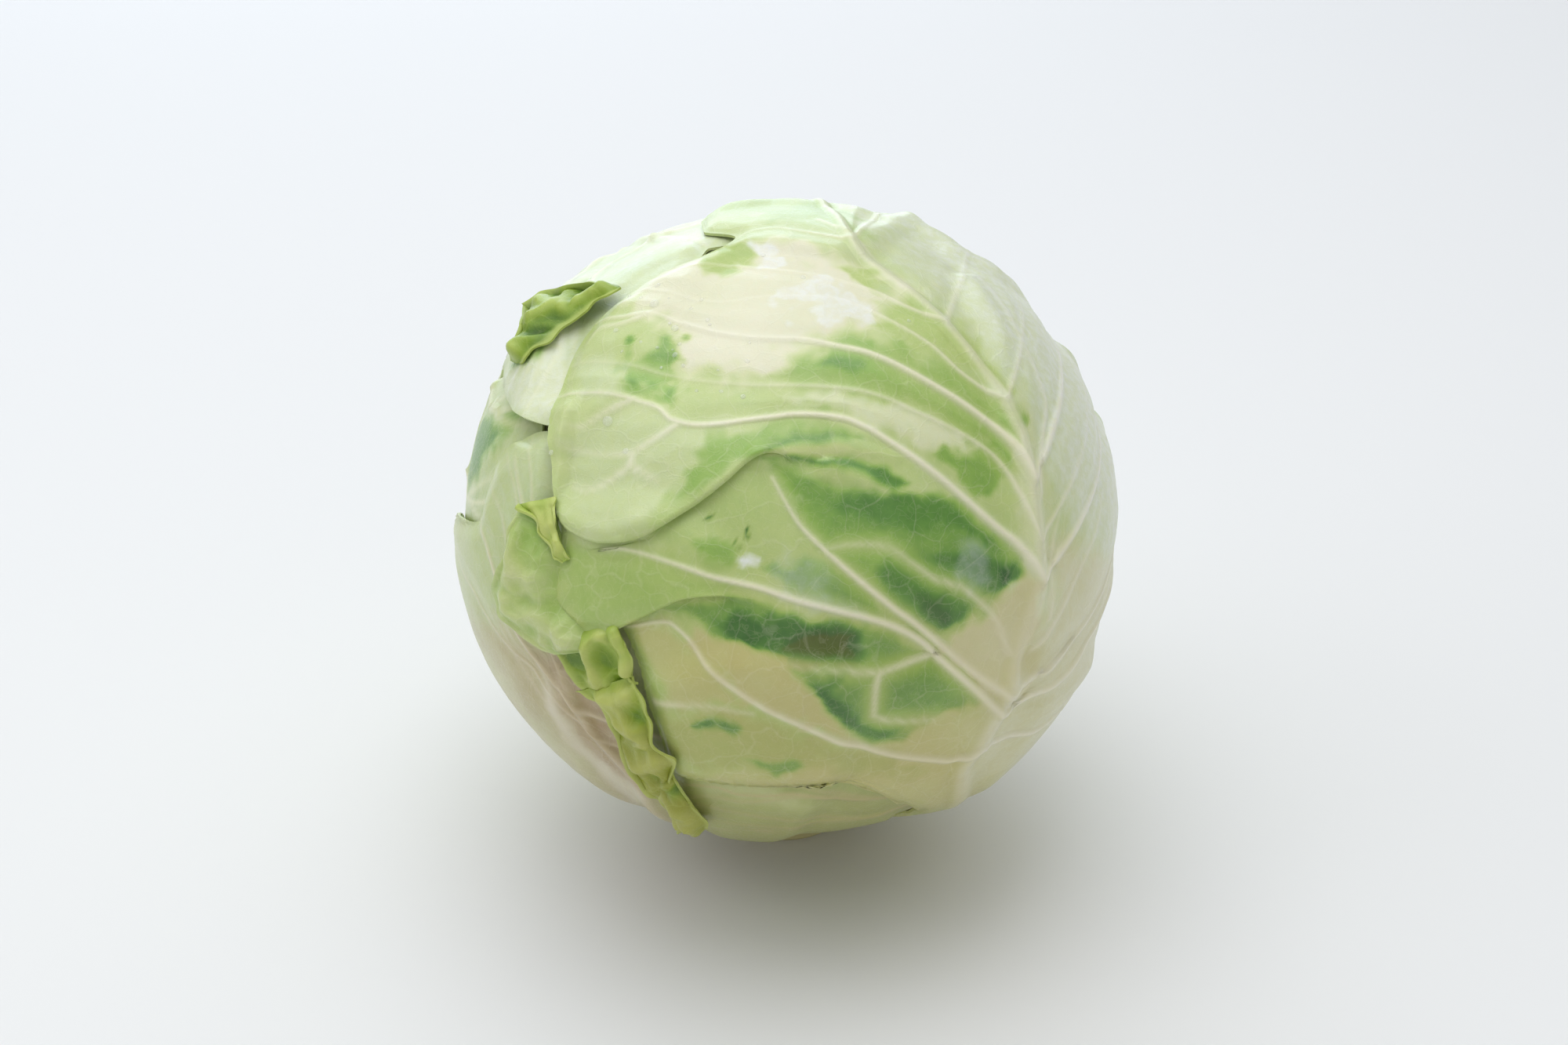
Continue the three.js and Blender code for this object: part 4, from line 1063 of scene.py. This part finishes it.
def leaf_finish(name, vein_colour, warm_colour, stops=TONE_STOPS, gloss=0.4, coat=0.42):
    """A leaf's finish. Gloss is its middle roughness and coat the strength of its wet shine."""
    finish = Finish(name)
    broad, grain, speckle = finish.noise(55.0), finish.noise(420.0), finish.noise(1500.0, 2.0)
    masks = {layer: finish.attribute(layer) for layer in ("green", "warm", "pale", "vein", "edge")}
    green, warm = masks["green"], masks["warm"]
    tone = green + (broad - 0.5) * 0.16 + (grain - 0.5) * 0.10
    base = finish.add("ShaderNodeValToRGB", {"stops": stops}, {"Fac": tone})
    straw = warm * finish.step(broad, 0.2, 0.75, 0.7, 1.0) * finish.step(green, 0.5, 0.8, 0.85, 0.1)
    base = finish.mix(straw, base, warm_colour)
    brown = finish.step(warm, 0.75, 1.0) * finish.step(green, 0.7, 0.92)
    base = finish.mix(brown * 0.7, base, BROWN)
    small = net_of_veins(finish, 95.0, 0.035) * 0.1 + net_of_veins(finish, 260.0, 0.06) * 0.07
    base = finish.mix(small, base, vein_colour)
    vein_tone = finish.mix(warm * 0.45, vein_colour, warm_colour)
    base = finish.mix(masks["vein"] * 0.94, base, vein_tone)
    # white where the wax bloom is rubbed off, and painted sheen where the pale patches stand in for
    # reflections
    wax_and_sheen = masks["pale"] * finish.step(grain, 0.3, 0.7, 0.55, 1.0)
    base = finish.mix(wax_and_sheen * 0.75, base, WAX_AND_SHEEN_WHITE)
    # a lighter line at the edge: partly the thin margin's own tone, partly a painted highlight
    base = finish.mix(masks["edge"] * 0.3, base, EDGE_TINT_AND_HIGHLIGHT)
    roughness = finish.step(speckle, 0.25, 0.75, gloss - SMOOTHER, gloss + ROUGHER)
    height = (grain - 0.5) * 0.5 + (speckle - 0.5) * 0.25 + (broad - 0.5) + small * 2.5
    finish.set(Base_Color=base, Roughness=roughness, Normal=finish.bump(height, 0.22, 0.0009))
    finish.set(Coat_Weight=coat, **SKIN)
    return finish.material


CREAM_VEIN = colour(240, 237, 204)
finishes = {
    "front_leaf": leaf_finish("waxy_green_leaf", CREAM_VEIN, colour(196, 176, 112)),
    "left_leaf": leaf_finish("cream_leaf", colour(230, 222, 184), colour(152, 114, 74)),
    "lower_leaf": leaf_finish("straw_leaf", colour(206, 196, 140), colour(152, 140, 84)),
}
pale_finish = leaf_finish("pale_leaf", colour(226, 230, 178), colour(194, 172, 120))
print("leaf finishes:", [finish.name for finish in (*finishes.values(), pale_finish)])

# %% [markdown]
# ## Build the seven leaves
# Each leaf is one sheet, but the front leaf fills the picture and needs the finest mesh. So it is
# made in three parts, which have the same points where they meet. The hidden leaves get fewer
# points. Solidify gives each face a twin on the inner side, so a leaf ends with about four triangles
# for each face of its sheet, and the print counts them.

# %% Build the leaves
# piece: node, points along and across, and the part of the leaf's width
LEAF_PIECES = {
    "waved_right_leaf": ("right_leaf", 150, 150, (0, 1)),
    "waved_back_leaf": ("back_leaf", 160, 150, (0, 1)),
    "waved_far_left_leaf": ("far_left_leaf", 110, 110, (0, 1)),
    "waved_left_leaf": ("left_leaf", 150, 130, (0, 1)),
    "waved_upper_left_leaf": ("upper_left_leaf", 150, 150, (0, 1)),
    "waved_lower_leaf": ("lower_leaf", 100, 130, (0, 1)),
    "front_leaf_left_edge": ("front_leaf", 420, 88, (0, 0.25)),
    "front_leaf_left_middle": ("front_leaf", 420, 84, (0.25, 0.5)),
    "front_leaf_right_half": ("front_leaf", 420, 50, (0.5, 1)),
}
SLOTS = {"front_leaf": "green_leaf", "left_leaf": "cream_leaf", "lower_leaf": "straw_leaf"}
LEAF_THICKNESS = 0.8
for piece_name, (name, rows, columns, part) in LEAF_PIECES.items():
    place, look = shape_leaf(name, rows, columns, part)
    green, warm, pale = leaf_tones(look, *LEAF_TONES[name])
    layers = {"green": green, "warm": warm, "pale": pale, "vein": look["vein"], "edge": look["edge"]}
    piece = grid_mesh(piece_name, place, layers)
    slot, cover = SLOTS.get(name, "pale_leaf"), finishes.get(name, pale_finish)
    finish_piece(piece, name, cover, LEAF_THICKNESS)
    faces = len(piece.data.polygons)
    print(piece.name, len(piece.data.vertices), "points, about", 4 * faces, "triangles")

# %% [markdown]
# ## The crumpled rim
# The front leaf's left edge has grown into a frill that turns back on itself, and the upper left leaf
# has a small curl of the same kind. A frill could be sculpted, or crushed by a cloth simulation, but we
# know where its two sides run on the photograph. So the rim is six small flaps that overlap, and the
# curl is a seventh. Each is written as its sizes and its left and right side.

# %% The flaps
# node, tone, base lift, arch, roll of the left and right edge, folds, points along and across, sides
FLAPS = {
    # the shoulder curl's dark tone of 0.92 is painted shade on the inner side of the curl
    "shoulder_curl": ("upper_left_leaf", 0.92, 0.6, 2.0, 2.4, 0.8, 0.7, 60, 28,
        "775,358 745,365 716,374 693,388 680,400 676,424 664,446 656,462",
        "790,362 768,376 746,391 727,406 708,426 693,443 680,455 668,466"),
    "rim_end": ("front_leaf", 0.6, 0.3, 2.2, 1.0, 0.8, 1.2, 48, 22,
        "836,985 843,1005 851,1024 862,1046 870,1058", "860,980 876,1002 888,1024 900,1040 906,1053"),
    "rim_middle": ("front_leaf", 0.6, 0.2, 1.8, 0.9, 1.6, 2.0, 64, 40,
        "690,812 704,834 718,856 734,872 748,884", "764,800 786,806 797,832 800,856 808,876"),
    "rim_blade": ("front_leaf", 0.6, 0.9, 1.3, 0.8, 1.1, 0.8, 40, 16,
        "774,800 778,820 784,842 790,862", "786,797 797,820 802,842 803,866"),
    "rim_lower_flap": ("front_leaf", 0.58, 1.1, 1.9, 1.5, 1.6, 1.6, 96, 44,
        "734,884 760,896 778,918 787,948 801,976 822,998 842,1014",
        "808,864 822,884 831,908 841,932 855,952 864,968 856,1000"),
    "rim_upper_flap": ("front_leaf", 0.66, 1.5, 1.5, 1.6, 0.0, 1.2, 110, 44,
        "670,648 658,690 648,724 640,746 645,772 664,797 684,820 704,836",
        "702,660 708,692 712,724 722,752 738,776 752,796 762,812 768,828"),
    "rim_curl": ("front_leaf", 0.56, 2.0, -0.5, 2.0, 1.3, 0.5, 52, 24,
        "666,646 680,656 692,680 706,704 720,716", "703,635 709,655 715,676 722,698 727,713"),
}
MERGED = ("rim_upper_flap",)  # its right side passes into the leaf
print("flaps:", len(FLAPS), "points in all:", sum(flap[7] * flap[8] for flap in FLAPS.values()))

# %% [markdown]
# ## How a flap is crumpled
# A frill has grown too long for the leaf that it hangs on. So it arches up between its sides, its
# edges wander and roll over, a few folds run along it, and creases with sharp valleys cross them. The
# creases are the absolute value of smooth noise, which has a kink where the noise changes sign. The
# same creases also tint the flap as painted light and shade: the crests are painted lighter, with a
# painted highlight that also runs along the margins, and the hollows are painted darker.

# %% Build the flaps
EDGE_WAVE, ROLL_WIDTH, ARCH_POWER = 2.3, 0.07, 1.6
FOLD_HEIGHT, CREASE_HEIGHT = 0.5, 1.9
LEAST_LIFT, FLAP_THICKNESS = 0.1, 0.7
# size in millimetres and seed of each noise
FLAP_NOISE = {
    "edge": (5.5, 0), "course": (17, 10), "left roll": (10, 20), "right roll": (10, 30),
    "creases": (15, 40), "fine creases": (6, 50), "tone": (9, 60),
}


def flap_noise(kind, directions, seed):
    size, own_seed = FLAP_NOISE[kind]
    return rough(directions, size, seed + own_seed)


def flap_directions(left, right, rows, columns, seed):
    """Directions between a flap's two sides, and their shares s along and t across."""
    left, right = np.array(points(left)), np.array(points(right))
    along = np.linspace(0, len(left) - 1, rows)
    s, t = np.linspace(0, 1, rows)[:, None], np.linspace(0, 1, columns)[None]
    a, b = smooth(left, along)[:, None, :3], smooth(right, along)[:, None, :3]
    directions = unit(a + (b - a) * t[..., None])
    wave = flap_noise("edge", directions, seed) * EDGE_WAVE / WRAPPED[0]
    wave = wave * (np.abs(t - 0.5) * 2) ** 2
    return unit(directions + unit(b - a) * wave[..., None]), s, t


def flap_lift(directions, s, t, arch, left_roll, right_roll, folds, seed):
    """A flap's lift before it is fitted to the leaf, and its creases."""
    course = flap_noise("course", directions, seed)
    lift = arch * (1 - np.abs(2 * t - 1) ** ARCH_POWER) * (1 + 0.5 * course)
    for roll, from_edge, kind in ((left_roll, t, "left roll"), (right_roll, 1 - t, "right roll")):
        rolled = roll * np.exp(-((from_edge / ROLL_WIDTH) ** 2))
        lift = lift + rolled * (1 + flap_noise(kind, directions, seed))
    turn = folds * t + 1.1 * course + 0.8 * s
    fold = 4 * np.abs(turn - np.floor(turn + 0.5)) - 1
    creases = 1.3 - 3 * np.abs(flap_noise("creases", directions, seed))
    creases = creases - 1.2 * np.abs(flap_noise("fine creases", directions, seed))
    inner = smoothstep(0, 0.25, np.minimum(t, 1 - t))
    return lift + FOLD_HEIGHT * fold * inner + CREASE_HEIGHT * creases * inner, creases, inner


def rim_flap(tone, base, arch, left_roll, right_roll, folds, rows, columns, left, right, seed, merged):
    """The places and the attributes of one flap."""
    directions, s, t = flap_directions(left, right, rows, columns, seed)
    lift, creases, inner = flap_lift(directions, s, t, arch, left_roll, right_roll, folds, seed)
    ends = smoothstep(0, 0.1, np.minimum(s, 1 - s))
    sink = 1 - smoothstep(0.6, 1, t) if merged else 1.0
    lift = np.maximum((base + lift * ends) * sink, LEAST_LIFT)
    radius = heart_radius(directions) + stack_under("front_leaf", directions) + GAP + BLADE + lift
    # painted light and shade: crease crests are painted lighter and crease hollows darker
    green = tone - 0.2 * creases + 0.2 * flap_noise("tone", directions, seed) - 0.04 * lift
    if merged:
        green = 0.5 + (green - 0.5) * (0.6 - 0.6 * smoothstep(0.4, 0.95, t))
    from_margin = t if merged else np.minimum(t, 1 - t)
    margin = np.exp(-((from_margin / ROLL_WIDTH) ** 2)) * np.ones_like(green)
    # painted highlight on the crease crests and along the margins, drawn in the vein colour
    crest = np.maximum(0.35 * np.clip(creases * inner, 0, 1) ** 2, 0.6 * margin)
    straw = 0.7 * smoothstep(800, 1000, pixels(directions, radius)[1])
    layers = {
        "green": np.clip(green, 0.25, 0.95),
        "warm": np.clip((0.12 if merged else 0.15) + straw, 0, 1),
        "pale": np.zeros_like(green),
        "vein": (0.4 if merged else 1) * crest,
        "edge": margin,
    }
    return directions * radius[..., None] + CENTRE, layers


# the frill's vein colour also paints the highlight on its crests and margins
FRILL_VEIN_AND_HIGHLIGHT, FRILL_STRAW = colour(206, 216, 120), colour(150, 140, 44)
rim_finish = leaf_finish("yellow_green_frill", FRILL_VEIN_AND_HIGHLIGHT, FRILL_STRAW, FRILL_STOPS, 0.45, 0.2)
FIRST_FLAP_SEED = 60
for seed, (name, (node, *flap)) in enumerate(FLAPS.items(), FIRST_FLAP_SEED):
    merged = name in MERGED
    rim = grid_mesh(name, *rim_flap(*flap, seed=seed, merged=merged))
    rim_cover = finishes["front_leaf"] if merged else rim_finish
    finish_piece(rim, node, rim_cover, FLAP_THICKNESS)
    print(rim.name, len(rim.data.vertices), "points")

# %% [markdown]
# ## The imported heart
# The heart hardly shows, only as a glimpse between leaves, so it could be left as the CAD has it. But
# its triangles would catch the light there. A sphere from bmesh with its points moved to the heart's
# own radius is smooth, and five soft ridges hint at the leaves inside.

# %% Build the heart
HEART_SHRINK, HEART_INSET = 0.998, 0.7
RIDGES, RIDGE_HEIGHT = 5, 0.5
ball = bmesh.new()
bmesh.ops.create_uvsphere(ball, u_segments=96, v_segments=64, radius=1)
for vertex in ball.verts:
    direction = np.array(vertex.co)
    azimuth = math.atan2(direction[0], -direction[1])
    ridges = RIDGE_HEIGHT * math.sin(azimuth * RIDGES + direction[2] * 2) * (1 - direction[2] ** 2)
    place = direction * (heart_radius(direction) * HEART_SHRINK - HEART_INSET + ridges) + CENTRE
    vertex.co = Vector(place * MM)
heart = new_piece("packed_heart", ball)
packed = Finish("packed_leaf")
packed_base = packed.mix(packed.noise(40.0), colour(232, 230, 196), colour(206, 212, 150))
packed.set(Base_Color=packed_base, Roughness=0.5)
finish_piece(heart, "inner_head", packed.material)
print("heart:", len(heart.data.vertices), "points")

# %% [markdown]
# ## The stem
# The stem is the cut stub that everything grows from, and the head rests on its cut. It could be spun
# from a profile, but it is only a disc with four rings, so we extrude the disc's edge ring by ring.
# The woody rim and the paler pith are told apart by the distance from the axis, in the finish.

# %% Build the stem
STEM_RADIUS, STEM_TOP, CUT_BEVEL = 19.0, CENTRE[2] - HEART[2] - GAP, 1.0
# radius and height of the rings above the cut
STEM_RINGS = (
    (STEM_RADIUS, CUT_BEVEL),
    (STEM_RADIUS - 0.3, STEM_TOP * 0.3),
    (STEM_RADIUS, STEM_TOP * 0.6),
    (STEM_RADIUS + 1.5, STEM_TOP),
)
PITH_END, WOOD_START = 0.0135, 0.0165
stub = bmesh.new()
bmesh.ops.create_circle(stub, cap_ends=True, segments=96, radius=(STEM_RADIUS - CUT_BEVEL) * MM)
bmesh.ops.reverse_faces(stub, faces=stub.faces)
edges = [edge for edge in stub.edges if edge.is_boundary]
radius_now, height_now = STEM_RADIUS - CUT_BEVEL, 0.0
for radius, height in STEM_RINGS:
    made = bmesh.ops.extrude_edge_only(stub, edges=edges)["geom"]
    verts = [item for item in made if isinstance(item, bmesh.types.BMVert)]
    edges = [item for item in made if isinstance(item, bmesh.types.BMEdge)]
    grow = radius / radius_now
    bmesh.ops.scale(stub, vec=(grow, grow, 1), verts=verts)
    bmesh.ops.translate(stub, vec=(0, 0, (height - height_now) * MM), verts=verts)
    radius_now, height_now = radius, height
bmesh.ops.edgeloop_fill(stub, edges=edges)
bmesh.ops.recalc_face_normals(stub, faces=stub.faces)
stem = new_piece("cut_stem", stub, rounded=False)

flesh = Finish("stem_flesh")
place = flesh.place()
x, y = (flesh.add("ShaderNodeSeparateXYZ", {}, {0: place}, axis) for axis in "XY")
from_axis = (x * x + y * y) ** 0.5
rim_mask = flesh.step(from_axis + (flesh.noise(300.0) - 0.5) * 0.004, PITH_END, WOOD_START)
flesh_base = flesh.mix(flesh.noise(700.0, 4.0), colour(232, 226, 196), colour(208, 196, 150))
flesh_base = flesh.mix(rim_mask * 0.8, flesh_base, colour(196, 190, 132))
flesh.set(Base_Color=flesh_base, Roughness=flesh.step(flesh.noise(900.0), 0.3, 0.7, 0.55, 0.8))
flesh.set(Normal=flesh.bump(flesh.noise(800.0), 0.4, 0.0006))
finish_piece(stem, "stem", flesh.material)
print("stem:", len(stem.data.vertices), "points")

# %% [markdown]
# ## Dew
# A few large drops and some small ones sit on the upper leaves. A drop on wax is a low dome, so each
# is an icosphere that is flattened along the leaf's normal and sunk into the leaf a little. They are
# one piece. A real drop bends the light behind it; ours is mostly clear with a glossy coat, which
# looks the same at this size and survives the export.

# %% Set the drops
# column and row on the photograph, radius in millimetres
LARGE_DROPS = (
    (830, 380, 1.5), (768, 533, 1.6), (853, 405, 1.1), (792, 573, 0.9), (703, 577, 0.8),
    (853, 440, 0.8), (780, 415, 0.9), (834, 355, 0.8), (945, 497, 0.7), (1026, 334, 0.8),
    (972, 306, 0.7), (1168, 395, 0.6),
)
SMALL_DROPS, SMALL_RADIUS = 26, (0.4, 0.7)
DROP_FLATNESS, DROP_SUNK, ROUND_FROM = 0.55, 0.08, 0.65
FARTHEST_FROM_LEAF = 3
front_points = shape_leaf("front_leaf", 120, 90)[0].reshape(-1, 3) - CENTRE
front_tree = kdtree.KDTree(len(front_points))
for index, point in enumerate(front_points):
    front_tree.insert(unit(point), index)
front_tree.balance()
rng = np.random.default_rng(12)
drops = list(LARGE_DROPS)
for _ in range(SMALL_DROPS):
    drops.append((rng.normal(835, 65), rng.normal(400, 55), rng.uniform(*SMALL_RADIUS)))
dew = bmesh.new()
for column, row, radius in drops:
    direction = seen(column, row)[:3]
    if front_tree.find(direction)[2] * WRAPPED[0] > FARTHEST_FROM_LEAF:
        continue
    around = [front_points[index] for _, index, _ in front_tree.find_n(direction, 4)]
    height = np.mean(np.linalg.norm(around, axis=1))
    centre = Vector((direction * (height - radius * DROP_SUNK) + CENTRE) * MM)
    finer = 3 if radius > ROUND_FROM else 2
    verts = bmesh.ops.create_icosphere(dew, subdivisions=finer, radius=radius * MM)["verts"]
    turn = Vector(direction).to_track_quat("Z", "Y")
    bmesh.ops.scale(dew, vec=(1, 1 + 0.15 * rng.uniform(-1, 1), DROP_FLATNESS), verts=verts)
    bmesh.ops.rotate(dew, matrix=turn.to_matrix(), verts=verts)
    bmesh.ops.translate(dew, vec=centre, verts=verts)
dew_piece = new_piece("dew_drops", dew)
water = Finish("water")
water.set(Base_Color=(1, 1, 1, 1), Roughness=0.05, Alpha=0.24, IOR=1.33, Coat_Weight=1.0)
finish_piece(dew_piece, None, water.material)
print("drops:", len(drops), "faces:", len(dew_piece.data.polygons))

# %% [markdown]
# ## Floor and light
# The photograph was taken under an open sky: the crown is bright and bluish and the foot is dim and
# warm. A sky texture could give that, but plain studio lights are easier to steer. One large soft
# light stands above and one behind, with weak fill from the front and the left.

# %% Set the floor and the lights
AIM_HEIGHT = 0.1
bpy.ops.mesh.primitive_plane_add(size=8, location=(0, 0, 0))
floor = bpy.context.object
floor.name = "floor"
pale_floor = Finish("pale_floor")
pale_floor.set(Base_Color=(0.8, 0.8, 0.8, 1), Roughness=0.9)
floor.data.materials.append(pale_floor.material)


def area_light(name, place, size, power, tint):
    light = bpy.data.lights.new(name, "AREA")
    light.size, light.energy, light.color = size, power, tint
    lamp = new_object(name, light)
    lamp.location = place
    aim = Vector((0, 0, AIM_HEIGHT)) - Vector(place)
    lamp.rotation_euler = aim.to_track_quat("-Z", "Y").to_euler()


area_light("sky_above", (-0.1, 0.05, 1.35), 1.1, 6.3, (0.95, 0.98, 1.0))
area_light("sky_behind", (-0.35, 1.6, 0.55), 1.3, 9.5, (0.74, 0.86, 1.0))
area_light("sky_left", (-1.2, -0.3, 0.9), 1.0, 2.5, (0.95, 0.98, 1.0))
area_light("front_fill", (0.5, -1.5, 0.8), 1.4, 2.3, (1.0, 0.97, 0.92))
sky = bpy.data.lights.new("soft_sky", "SUN")
sky.energy, sky.angle, sky.color = 1.1, math.radians(100), (0.96, 0.98, 1.0)
new_object("soft_sky", sky).rotation_euler = (math.radians(-12), math.radians(-6), 0)
world = bpy.data.worlds.new("studio")
world.use_nodes = True
background = world.node_tree.nodes["Background"]
background.inputs["Color"].default_value = (1, 1, 1, 1)
background.inputs["Strength"].default_value = 0.33
bpy.context.scene.world = world
bpy.context.scene.view_settings.view_transform = "Standard"

# %% [markdown]
# ## The camera
# The camera stands where the photograph's did: twenty-eight degrees above the horizon, with a long
# lens. Its place and its lens could be found by trial. But the camera model at the start already fixes
# them, so the leaves come out at the pixels that they were drawn from.

# %% Place the camera
SENSOR, IMAGE_WIDTH, IMAGE_MIDDLE_ROW = 36.0, 2000, 666.5
camera_data = bpy.data.cameras.new("photo_camera")
camera_data.sensor_width = SENSOR
camera_data.lens = SENSOR * DISTANCE / (IMAGE_WIDTH * MM_PER_PIXEL)
camera_data.clip_start = 0.01
camera = new_object("photo_camera", camera_data)
camera.rotation_mode = "QUATERNION"
camera.rotation_quaternion = Vector(TO_CAMERA).to_track_quat("Z", "Y")
raised = UPWARD * (PHOTO_CENTRE[1] - IMAGE_MIDDLE_ROW) * MM_PER_PIXEL
camera.location = Vector((CENTRE + TO_CAMERA * DISTANCE + raised) * MM)
bpy.context.scene.camera = camera
print("lens:", round(camera_data.lens, 1), "mm")

# %% [markdown]
# ## Bring the scene up to date
# The view layer is updated once more at the end.

# %% Update the view layer
bpy.context.view_layer.update()
